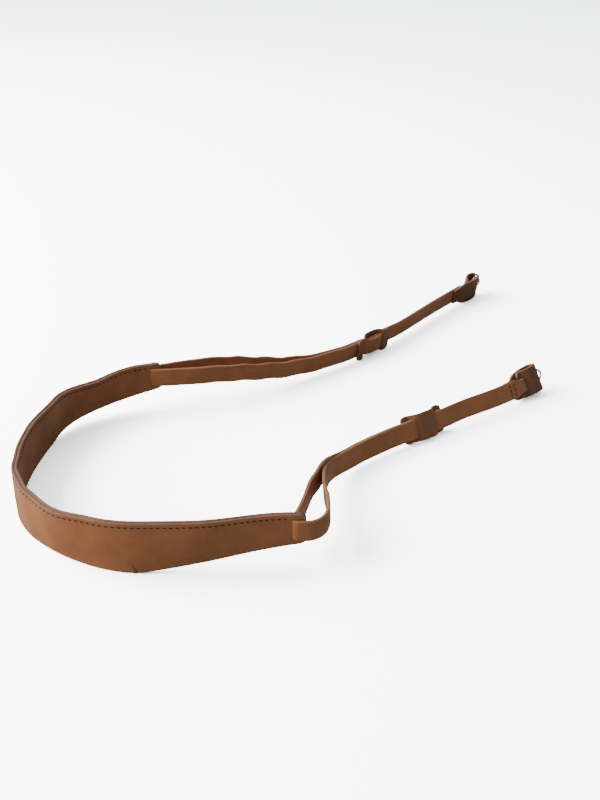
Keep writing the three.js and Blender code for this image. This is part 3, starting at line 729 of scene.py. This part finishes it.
def crease(s, h, corner, way):
    """Depth of the small pleat that runs up from a corner of the pad's fold."""
    top = Vector((way * PLEAT_TOP[0], PLEAT_TOP[1]))
    p = Vector((s - corner, h))
    t = min(max(p.dot(top) / top.length_squared, 0.0), 1.0)
    d = (p - top * t).length
    return PLEAT_DEPTH * (1 - PLEAT_FADE * t) * np.exp(-(d / PLEAT_WIDTH) ** 2)


def pad_mesh(sizes):
    outline, regions = pad_outline(sizes)
    ends = [share * PAD_CORNER for share in PAD_CORNER_SHARES]
    corners = [PAD_LENGTH * share for share in PLEAT_PLACES]
    at = set(ends) | {PAD_LENGTH - e for e in ends}
    first = PAD_CORNER * 1.2
    at |= {s for s in np.linspace(0, PAD_LENGTH, PAD_SECTIONS) if first < s < PAD_LENGTH - first}
    at |= {c + k * PLEAT_STEP for c in corners for k in range(-PLEAT_STEPS, PLEAT_STEPS + 1)}
    at = np.array(sorted(at))
    at = at[np.concatenate([[True], np.diff(at) > LEAST_STEP])]
    rings = []
    for s in at:
        end = min(s, PAD_LENGTH - s)
        inset, soft = corner_inset(PAD_CORNER, end), corner_inset(END_ROUND, end)
        low = pad_low(s) + inset
        high = PAD_WIDTH - inset + PAD_RIPPLE * noise.noise(Vector((s * EDGE_WAVES, 0, 0)))
        foot, _, across, upward = pad_axes(s)
        middle = eased((end - SWELL_START) / SWELL_FADE)
        ring = []
        for a, f, d, region, seam in outline:
            z = low * (1 - f) + high * f + d
            sign = 1 if a > 0 else -1
            out = abs(a)
            if region == FACE and out > PAD_HALF * 0.9:
                h = (z - low) / (high - low)
                out += middle * (PAD_SWELL * sin(pi * min(max(h, 0), 1)) ** 2
                                 + PAD_RIPPLE * noise.noise(Vector((s * FACE_WAVES, h * 2, sign * 3))))
                out -= seam * eased((end - SEAM_START) / SEAM_FADE)
            if region == FACE and z - low < PLEAT_REACH[1]:
                for corner, way in zip(corners, (1, -1)):
                    if abs(s - corner) < PLEAT_REACH[0]:
                        out -= min(crease(s, z - low, corner, way), out * 0.5)
            out *= (PAD_HALF - soft) / PAD_HALF
            point = foot + across * (sign * out) + upward * z
            point.z = max(point.z, 0.0)
            ring.append(point)
        rings.append(ring)
    flat = [Vector((row[0], 0.02 * row[1] + row[2], 0)) for row in outline]
    caps = geometry.tessellate_polygon([flat])
    heights = [min(max(row[1] + row[2] / PAD_WIDTH, 0), 1) for row in outline]
    mesh = build_mesh("neck_pad_leather", np.array(rings), regions, at, heights, caps)
    close_outwards(mesh)
    return mesh


def stitch(centre, along, out, length, width):
    """One stitch: a thread that rises out of the leather and dips back into it, closed at its ends."""
    verts, faces = [], []
    across = along.cross(out).normalized()
    sides, last = THREAD_SIDES, STITCH_STEPS * THREAD_SIDES
    for i in range(STITCH_STEPS + 1):
        t = i / STITCH_STEPS
        off = t * 2 - 1
        height = width * (0.22 - 0.95 * abs(off) ** 3.2)
        p = centre + along * (off * length / 2) + out * height
        swell = width / 2 * (0.55 + 0.45 * sin(pi * t) ** 0.5)
        for k in range(sides):
            a = 2 * pi * k / sides
            verts.append(p + across * (cos(a) * swell) + out * (sin(a) * swell * THREAD_FLAT))
    for start in range(0, last, sides):
        for k in range(sides):
            m = (k + 1) % sides
            faces.append((start + k, start + m, start + sides + m, start + sides + k))
    faces += [tuple(range(sides))[::-1], tuple(range(last, last + sides))]
    return verts, faces


def sew(name, stitches, material):
    """One object of all the stitches."""
    verts, faces = [], []
    for points, loops in stitches:
        base = len(verts)
        verts += points
        faces += [tuple(base + i for i in loop) for loop in loops]
    mesh = bpy.data.meshes.new(name)
    mesh.from_pydata(verts, [], faces)
    close_outwards(mesh)
    return make_object(mesh, [material])


def pad_stitches(sizes, material):
    """The seam along the pad's upper edge, on both of its faces."""
    stitches = []
    run = PAD_LENGTH - 2 * SEAM_ENDS
    count = int(run / sizes.stitch_pitch)
    for k in range(count + 1):
        foot, along, across, upward = pad_axes(SEAM_ENDS + run * k / count)
        wander = SEAM_WANDER * noise.noise(Vector((k * 1.7, 0, 2)))
        foot += upward * (PAD_WIDTH - sizes.stitch_inset + wander)
        for sign in (1, -1):
            slant = (along + upward * (SEAM_SLANT * sign)).normalized()
            face = foot + across * (sign * (PAD_HALF - SEAM_SINK))
            stitches.append(stitch(face, slant, across * sign, sizes.stitch_length, sizes.thread_width))
    return sew("pad_seam_thread", stitches, material)


def cross_stitches(side, sizes, material):
    """The two short rows of thread across the strap, behind its end flap."""
    stitches, width = [], sizes.thread_width * CROSS_THREAD
    tail = FLAP_INNER[-1][1] * LAYER + FLAP_WALL / 2
    for back in CROSS_ROWS:
        s = side.length - back
        _, inward, up, _, lean = side.axes(s)
        out = (inward * cos(lean) - UP * sin(lean)).normalized()
        for sign, face in ((1, tail), (-1, STRAP_THICKNESS / 2)):
            for u in CROSS_HEIGHTS:
                foot = side.place(s, sign * (face - CROSS_SINK), u)
                stitches.append(stitch(foot, up, out * sign, CROSS_LENGTH, width))
    return sew(f"{side.name}_end_thread", stitches, material)


# Sliders, end flaps and rings


def slider_line():
    tab_end, slit = SLIDER_LENGTH / 2, BRIDGE_LENGTH / 2
    half = [
        (tab_end, TAB_OFFSET), ((tab_end + slit + BRIDGE_EASE) / 2, TAB_OFFSET),
        (slit + BRIDGE_EASE, TAB_OFFSET), (slit, (TAB_OFFSET - BRIDGE_OFFSET) / 2),
        (slit - BRIDGE_EASE, -BRIDGE_OFFSET), (slit / 2, -BRIDGE_OFFSET - BRIDGE_BOW * BRIDGE_BOW_SHARE),
        (0, -BRIDGE_OFFSET - BRIDGE_BOW),
    ]
    return [(s, n, 0) for s, n in half] + [(-s, n, 0) for s, n in half[-2::-1]]


def slider_mesh(side, sizes):
    margin = (SLIDER_HEIGHT - STRAP_WIDTH) / 2
    line = []
    for s, n, _ in catmull_rom(slider_line(), SLIDER_STEPS, spaced=True):
        inset = corner_inset(SLIDER_CORNER, SLIDER_LENGTH / 2 - abs(s))
        line.append(side.station(side.slider + s, n, inset - margin, STRAP_WIDTH + margin - inset))
    return strip_mesh(
        f"{side.name}_slider_leather", line, SLIDER_WALL, sizes.edge_round, ends=END_ROUND, rows=12)


def slider_channel(side):
    """A cutter where both legs of the strap pass through the slider."""
    reach = SLIDER_LENGTH / 2 + CUT_PAST
    run = side.slider + np.linspace(-reach, reach, CHANNEL_STEPS)
    stations = [side.station(s, LEG_STEP / 2 + side.weave(s)) for s in run]
    return slit_mesh(stations, LEG_STEP + STRAP_THICKNESS)


def flap_mesh(side, sizes):
    """The folded flap. Its spline runs in millimetres, so that its width weighs little in the spacing."""
    bar = side.length
    fold = [(bar - back * FLAP_REACH, out * LAYER, wide) for back, out, wide in FLAP_OUTER]
    fold += [(bar + FLAP_LOOP * sin(pi * t), -FLAP_LOOP * cos(pi * t), 1) for t in (0, 0.25, 0.5, 0.75, 1)]
    fold += [(bar - back * FLAP_REACH, out * LAYER, wide) for back, out, wide in FLAP_INNER]
    scaled = [(s * MM, n * MM, wide) for s, n, wide in fold]
    line, points = [], catmull_rom(scaled, FLAP_STEPS, spaced=True)
    for (s, n, wide), done in zip(points, run_lengths(points[:, :2]) / MM):
        wide = min(max(wide, 0), 1)
        half = (STRAP_WIDTH + (FLAP_WIDTH - STRAP_WIDTH) * wide) / 2 - corner_inset(FLAP_CORNER, done)
        line.append(side.station(s / MM, n / MM, STRAP_WIDTH / 2 - half, STRAP_WIDTH / 2 + half))
    return strip_mesh(
        f"{side.name}_flap_leather", line, FLAP_WALL, sizes.edge_round, ends=END_ROUND, rows=14)


def ring_mouth(side):
    """A cutter where the ring's wire leaves the fold of the flap."""
    start = RING_LOOP + STRAP_THICKNESS / 2
    half = (RING_BAR + RING_WIRE) / 2 * (1 - start / RING_DEPTH) + RING_WIRE / 2 + 2 * GAP
    stations = [side.station(side.length + s, 0, STRAP_WIDTH / 2 - half, STRAP_WIDTH / 2 + half)
                for s in (start, FLAP_LOOP + FLAP_WALL)]
    return strip_mesh("mouth", stations, RING_WIRE + 2 * GAP, MOUTH_ROUND, rows=2)


def ring_mesh(side):
    """The ring's wire, in its own plane: out from the bar, and up the strap."""
    reach = (RING_BAR + RING_WIRE) / 2
    corners = [Vector((0, -reach)), Vector((RING_DEPTH, 0)), Vector((0, reach))]
    line = []
    for i, corner in enumerate(corners):
        before = (corners[i - 1] - corner).normalized()
        after = (corners[(i + 1) % 3] - corner).normalized()
        half_angle = before.angle(after) / 2
        centre = corner + (before + after).normalized() * (RING_CORNER / sin(half_angle))
        setback = RING_CORNER / tan(half_angle)
        ends = [corner + way * setback - centre for way in (before, after)]
        a, b = (atan2(e.y, e.x) for e in ends)
        sweep = (b - a) % (2 * pi)
        turns = [a + sweep * k / CORNER_STEPS for k in range(CORNER_STEPS + 1)]
        line += [centre + Vector((cos(turn), sin(turn))) * RING_CORNER for turn in turns]
    fine = []
    for p, q in zip(line, line[1:] + line[:1]):
        pieces = max(1, round((q - p).length / RING_STEP))
        fine += [p.lerp(q, k / pieces) for k in range(pieces)]
    rings = []
    for i, p in enumerate(fine):
        way = (fine[(i + 1) % len(fine)] - fine[i - 1]).normalized()
        ring = []
        for k in range(RING_SIDES):
            a = 2 * pi * k / RING_SIDES
            spread = cos(a) * RING_WIRE / 2
            ring.append(side.place(side.length + p.x + way.y * spread, sin(a) * RING_WIRE / 2,
                                   STRAP_WIDTH / 2 + p.y - way.x * spread))
        rings.append(ring)
    shares = [k / RING_SIDES for k in range(RING_SIDES)]
    mesh = build_mesh(f"{side.name}_ring_wire", np.array(rings), [FACE] * RING_SIDES,
                      range(len(rings) + 1), shares, closed=True)
    close_outwards(mesh)
    return mesh


# Materials


def add(tree, kind, inputs=None, **settings):
    """A node with its settings and inputs, each input a value or a socket to link."""
    made = tree.nodes.new(kind)
    for key, value in settings.items():
        setattr(made, key, value)
    for key, value in (inputs or {}).items():
        if isinstance(value, bpy.types.NodeSocket):
            tree.links.new(value, made.inputs[key])
        else:
            made.inputs[key].default_value = value
    return made


def maths(tree, operation, *values):
    return add(tree, "ShaderNodeMath", dict(enumerate(values)), operation=operation).outputs[0]


def ranged(tree, value, low, high, to_low, to_high):
    return add(tree, "ShaderNodeMapRange", {
        "Value": value, "From Min": low, "From Max": high, "To Min": to_low, "To Max": to_high,
    }, interpolation_type="SMOOTHSTEP").outputs[0]


def mixed(tree, factor, a, b):
    return add(tree, "ShaderNodeMix", {0: factor, 6: a, 7: b}, data_type="RGBA").outputs[2]


def effect_group(name, inputs, outputs):
    """A shader node group with named inputs and outputs."""
    group = bpy.data.node_groups.new(name, "ShaderNodeTree")
    for label, kind, value in inputs:
        socket = group.interface.new_socket(label, in_out="INPUT", socket_type=kind)
        if value is not None:
            socket.default_value = value
    for label, kind in outputs:
        group.interface.new_socket(label, in_out="OUTPUT", socket_type=kind)
    return group, group.nodes.new("NodeGroupInput").outputs, group.nodes.new("NodeGroupOutput").inputs


FLOAT, VECTOR = "NodeSocketFloat", "NodeSocketVector"


def leather_grain():
    """Pores, and slow changes of tone, of smooth leather."""
    name = "Leather grain"
    if name in bpy.data.node_groups:
        return bpy.data.node_groups[name]
    group, given, result = effect_group(
        name, [("Position", VECTOR, None), ("Pores per metre", FLOAT, 1100), ("Cloudiness", FLOAT, 0.5)],
        [("Height", FLOAT), ("Tone", FLOAT)])
    pores = add(group, "ShaderNodeTexVoronoi", {
        "Vector": given["Position"], "Scale": given["Pores per metre"], "Randomness": 1.0})
    fine = add(group, "ShaderNodeTexNoise", {
        "Vector": given["Position"], "Scale": maths(group, "MULTIPLY", given["Pores per metre"], 1.9),
        "Detail": 4.0, "Roughness": 0.6})
    cloud = add(group, "ShaderNodeTexNoise", {
        "Vector": given["Position"], "Scale": maths(group, "MULTIPLY", given["Pores per metre"], 0.035),
        "Detail": 5.0, "Roughness": 0.55})
    pitted = ranged(group, pores.outputs["Distance"], 0.0, 0.55, 0.0, 1.0)
    rough = maths(group, "MULTIPLY", fine.outputs[0], 0.55)
    height = maths(group, "MULTIPLY_ADD", pitted, 0.45, rough)
    cloudy = ranged(group, cloud.outputs[0], 0.3, 0.7, 0.0, 1.0)
    slow = maths(group, "MULTIPLY", cloudy, given["Cloudiness"])
    quick = maths(group, "MULTIPLY", ranged(group, height, 0.3, 0.75, 0.0, 1.0),
                  maths(group, "SUBTRACT", 1.0, given["Cloudiness"]))
    group.links.new(height, result["Height"])
    group.links.new(maths(group, "ADD", slow, quick), result["Tone"])
    return group


def edge_wear():
    """Where the leather is rubbed, along the long edges of a piece."""
    name = "Edge wear"
    if name in bpy.data.node_groups:
        return bpy.data.node_groups[name]
    inputs = [("Across", FLOAT, 0.5), ("Position", VECTOR, None), ("Reach", FLOAT, 0.08)]
    group, given, result = effect_group(name, inputs, [("Mask", FLOAT)])
    to_edge = maths(group, "ABSOLUTE", maths(group, "SUBTRACT", given["Across"], 0.5))
    start = maths(group, "SUBTRACT", 0.5, given["Reach"])
    near_edge = maths(group, "DIVIDE", maths(group, "SUBTRACT", to_edge, start), given["Reach"])
    patch = add(group, "ShaderNodeTexNoise", {"Vector": given["Position"], "Scale": 140.0, "Detail": 3.0})
    broken = ranged(group, patch.outputs[0], 0.35, 0.65, 0.25, 1.0)
    mask = maths(group, "MULTIPLY", ranged(group, near_edge, 0.0, 1.0, 0.0, 1.0), broken)
    group.links.new(mask, result["Mask"])
    return group


def new_material(name):
    material = bpy.data.materials.new(name)
    material.use_nodes = True
    tree = material.node_tree
    return material, tree, tree.nodes["Principled BSDF"]


def on_piece(tree):
    """The place on the piece, which its textures follow."""
    return add(tree, "ShaderNodeTexCoord").outputs["Object"]


def rgba(colour, factor=1.0):
    return (*(min(c * factor, 1.0) for c in colour), 1.0)


def paint(tree, shader, factor, colour, tones):
    """Feeds the shader's colour with two tones of one colour, mixed by the factor."""
    dark, light = (rgba(colour, tone) for tone in tones)
    tree.links.new(mixed(tree, factor, dark, light), shader.inputs["Base Color"])


def dent(tree, shader, height, depth):
    bump = add(tree, "ShaderNodeBump", {"Height": height, "Distance": depth})
    tree.links.new(bump.outputs[0], shader.inputs["Normal"])


def roughen(tree, shader, value, low, high):
    tree.links.new(ranged(tree, value, 0, 1, low, high), shader.inputs["Roughness"])


def leather(name, colour, sizes, roughness):
    """Smooth leather: pores, clouded tone, and edges rubbed a little lighter."""
    material, tree, shader = new_material(name)
    place = on_piece(tree)
    dark, light, rubbed = (rgba(colour, tone) for tone in LEATHER_TONES)
    grain = add(tree, "ShaderNodeGroup", {
        "Position": place, "Pores per metre": 1 / sizes.grain_size, "Cloudiness": LEATHER_CLOUD,
    }, node_tree=leather_grain()).outputs
    lengths = add(tree, "ShaderNodeUVMap", uv_map="Leather").outputs[0]
    across = add(tree, "ShaderNodeSeparateXYZ", {0: lengths}).outputs[1]
    wear = add(tree, "ShaderNodeGroup", {"Across": across, "Position": place}, node_tree=edge_wear())
    worn = maths(tree, "MULTIPLY", wear.outputs["Mask"], LEATHER_WEAR)
    tone = mixed(tree, grain["Tone"], dark, light)
    tree.links.new(mixed(tree, worn, tone, rubbed), shader.inputs["Base Color"])
    roughen(tree, shader, grain["Tone"], roughness + 0.10, roughness - 0.06)
    dent(tree, shader, grain["Height"], sizes.grain_depth)
    shader.inputs["Specular IOR Level"].default_value = 0.25
    return material


def cut_edge(name, colour, sizes):
    """Cut edge of the leather: burnished fibres, finer than the pores."""
    material, tree, shader = new_material(name)
    place = on_piece(tree)
    grain = add(tree, "ShaderNodeGroup", {
        "Position": place, "Pores per metre": EDGE_PORES / sizes.grain_size,
    }, node_tree=leather_grain()).outputs
    paint(tree, shader, grain["Tone"], colour, EDGE_TONES)
    roughen(tree, shader, grain["Tone"], 0.72, 0.55)
    dent(tree, shader, grain["Height"], EDGE_DENT)
    return material


def waxed_thread(name, colour):
    """Waxed thread, with its twist."""
    material, tree, shader = new_material(name)
    place = on_piece(tree)
    twist = add(tree, "ShaderNodeTexWave", {"Vector": place, "Scale": 900.0, "Distortion": 1.0}).outputs[1]
    paint(tree, shader, twist, colour, THREAD_TONES)
    dent(tree, shader, twist, THREAD_DENT)
    shader.inputs["Roughness"].default_value = 0.7
    shader.inputs["Specular IOR Level"].default_value = 0.15
    return material


def bright_wire(name, colour):
    """Bright drawn wire, with faint scuffs."""
    material, tree, shader = new_material(name)
    place = on_piece(tree)
    scuff = add(tree, "ShaderNodeTexNoise", {
        "Vector": place, "Scale": 700.0, "Detail": 5.0, "Roughness": 0.7}).outputs[0]
    paint(tree, shader, scuff, colour, WIRE_TONES)
    tree.links.new(ranged(tree, scuff, 0.3, 0.7, 0.14, 0.30), shader.inputs["Roughness"])
    dent(tree, shader, scuff, WIRE_DENT)
    shader.inputs["Metallic"].default_value = 1.0
    return material


def get_material(name, make, *values):
    return bpy.data.materials.get(name) or make(name, *values)


def leather_finish(context, kind):
    """The two materials of a leather piece, for its faces and for its edges."""
    sizes, colours = context.scene.neck_strap_sizes, context.scene.neck_strap_colours
    edge, roughness = FINISHES[kind]
    edge_colour = colours.pad_edge if edge == "Pad edge" else colours.cut_edge
    return [get_material(f"{kind.title()} leather", leather, getattr(colours, kind), sizes, roughness),
            get_material(edge, cut_edge, edge_colour, sizes)]


def thread_finish(context):
    return get_material("Waxed thread", waxed_thread, context.scene.neck_strap_colours.thread)


def settle(obj, slot_name, *nodes):
    """Puts a finished piece on the part's body, in the place of its CAD nodes."""
    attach(obj, "root")
    if nodes:
        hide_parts(*nodes)
    return obj


# Operators


class NECKSTRAP_OT_stage(bpy.types.Operator):
    """Makes the surface, the soft studio light and the camera"""

    bl_idname = "neckstrap.stage"
    bl_label = "Stage"

    def execute(self, context):
        scene = context.scene
        colours = scene.neck_strap_colours
        mesh = bpy.data.meshes.new("surface")
        signs = ((-1, -1), (1, -1), (1, 1), (-1, 1))
        corners = [(x * SURFACE_REACH, y * SURFACE_REACH, 0) for x, y in signs]
        mesh.from_pydata(corners, [], [(0, 1, 2, 3)])
        material, tree, shader = new_material("Pale surface")
        shader.inputs["Base Color"].default_value = rgba(colours.surface, SURFACE_BOUNCE)
        shader.inputs["Roughness"].default_value = 0.9
        shader.inputs["Specular IOR Level"].default_value = 0.1
        bright = (*(c * SURFACE_SEEN for c in colours.surface), 1)
        seen = add(tree, "ShaderNodeBsdfDiffuse", {"Color": bright})
        direct = add(tree, "ShaderNodeLightPath").outputs["Is Camera Ray"]
        shown = add(tree, "ShaderNodeMixShader", {0: direct, 1: shader.outputs[0], 2: seen.outputs[0]})
        tree.links.new(shown.outputs[0], tree.nodes["Material Output"].inputs["Surface"])
        surface = make_object(mesh, [material])

        for name, place, size, power, colour in LIGHTS:
            data = bpy.data.lights.new(name, "AREA")
            data.shape, data.size, data.size_y = "RECTANGLE", *size
            data.energy, data.color = power, colour
            lamp = bpy.data.objects.new(name, data)
            scene.collection.objects.link(lamp)
            lamp.location = place
            lamp.rotation_mode = "QUATERNION"
            lamp.rotation_quaternion = (LIGHTS_AIM - Vector(place)).to_track_quat("-Z", "Y")

        world = bpy.data.worlds.new("Pale room")
        world.use_nodes = True
        back = world.node_tree.nodes["Background"]
        back.inputs["Color"].default_value = (*WORLD_COLOUR, 1)
        direct = add(world.node_tree, "ShaderNodeLightPath").outputs["Is Camera Ray"]
        shown = maths(world.node_tree, "MULTIPLY_ADD", direct, WORLD_SEEN, WORLD_STRENGTH)
        world.node_tree.links.new(shown, back.inputs["Strength"])
        scene.world = world

        data = bpy.data.cameras.new("camera")
        data.lens, data.sensor_width, data.sensor_fit = CAMERA_LENS, CAMERA_SENSOR, "AUTO"
        data.clip_start, data.clip_end = 0.01, 40
        camera = bpy.data.objects.new("camera", data)
        scene.collection.objects.link(camera)
        camera.location = CAMERA_PLACE
        camera.rotation_euler = (radians(CAMERA_TILT), 0, 0)
        scene.camera = camera
        return {"FINISHED"}


class NECKSTRAP_OT_pad(bpy.types.Operator):
    """Makes the folded neck pad and the seam along its upper edge"""

    bl_idname = "neckstrap.pad"
    bl_label = "Neck pad"

    def execute(self, context):
        sizes = context.scene.neck_strap_sizes
        pad = make_object(pad_mesh(sizes), leather_finish(context, "pad"))
        cut(pad, *(pad_slit(side, sizes) for side in SIDES))
        settle(pad, "pad_leather", "neck_pad")
        settle(pad_stitches(sizes, thread_finish(context)), "pad_leather")
        return {"FINISHED"}


class NECKSTRAP_OT_straps(bpy.types.Operator):
    """Makes the two narrow straps and the thread at their ends"""

    bl_idname = "neckstrap.straps"
    bl_label = "Narrow straps"

    def execute(self, context):
        sizes = context.scene.neck_strap_sizes
        for side in SIDES:
            mesh = strip_mesh(f"{side.name}_strap_leather", strap_stations(side, sizes.step),
                              STRAP_THICKNESS, sizes.edge_round, ends=END_ROUND, wave=STRAP_WAVE)
            strap = make_object(mesh, leather_finish(context, "strap"))
            settle(strap, "strap_leather", f"{side.name}_strap")
            settle(cross_stitches(side, sizes, thread_finish(context)), "strap_leather")
        return {"FINISHED"}


class NECKSTRAP_OT_sliders(bpy.types.Operator):
    """Makes the two sliders, each with its slits and bridge"""

    bl_idname = "neckstrap.sliders"
    bl_label = "Sliders"

    def execute(self, context):
        sizes = context.scene.neck_strap_sizes
        for side in SIDES:
            slider = make_object(slider_mesh(side, sizes), leather_finish(context, "slider"))
            cut(slider, slider_channel(side))
            settle(slider, "slider_leather", f"{side.name}_slider")
        return {"FINISHED"}


class NECKSTRAP_OT_ends(bpy.types.Operator):
    """Makes the end flaps and their wire rings"""

    bl_idname = "neckstrap.ends"
    bl_label = "End flaps and rings"

    def execute(self, context):
        sizes, colours = context.scene.neck_strap_sizes, context.scene.neck_strap_colours
        for side in SIDES:
            # The flap leather's colour is darker than the sliders' same leather: painted shade
            flap = make_object(flap_mesh(side, sizes), leather_finish(context, "flap"))
            strand = near_stations(
                strap_stations(side, sizes.step), side.place(side.length, 0, 0), FLAP_REACH * 1.5)
            cut(flap, slit_mesh(strand), ring_mouth(side))
            settle(flap, "flap_leather", f"{side.name}_end_flap")
            wire = get_material("Bright wire", bright_wire, colours.wire)
            settle(make_object(ring_mesh(side), [wire]), "ring_wire", f"{side.name}_ring")
        return {"FINISHED"}


class NECKSTRAP_PT_panel(bpy.types.Panel):
    """Lists the pieces of the neck strap"""

    bl_idname = "NECKSTRAP_PT_panel"
    bl_label = "Neck Strap"
    bl_space_type = "VIEW_3D"
    bl_region_type = "UI"
    bl_category = "Neck Strap"

    def draw(self, context):
        layout = self.layout
        for operator in OPERATORS:
            layout.operator(operator.bl_idname)
        for settings in (context.scene.neck_strap_sizes, context.scene.neck_strap_colours):
            box = layout.box()
            for name in settings.__annotations__:
                box.prop(settings, name)


OPERATORS = [NECKSTRAP_OT_stage, NECKSTRAP_OT_pad, NECKSTRAP_OT_straps, NECKSTRAP_OT_sliders,
             NECKSTRAP_OT_ends]
CLASSES = [NeckStrapSizes, NeckStrapColours, *OPERATORS, NECKSTRAP_PT_panel]


def register():
    for cls in CLASSES:
        bpy.utils.register_class(cls)
    bpy.types.Scene.neck_strap_sizes = bpy.props.PointerProperty(type=NeckStrapSizes)
    bpy.types.Scene.neck_strap_colours = bpy.props.PointerProperty(type=NeckStrapColours)


def unregister():
    del bpy.types.Scene.neck_strap_colours
    del bpy.types.Scene.neck_strap_sizes
    for cls in reversed(CLASSES):
        bpy.utils.unregister_class(cls)


def main():
    register()
    bpy.ops.neckstrap.stage()
    bpy.ops.neckstrap.pad()
    bpy.ops.neckstrap.straps()
    bpy.ops.neckstrap.sliders()
    bpy.ops.neckstrap.ends()


if __name__ == "__main__":
    main()
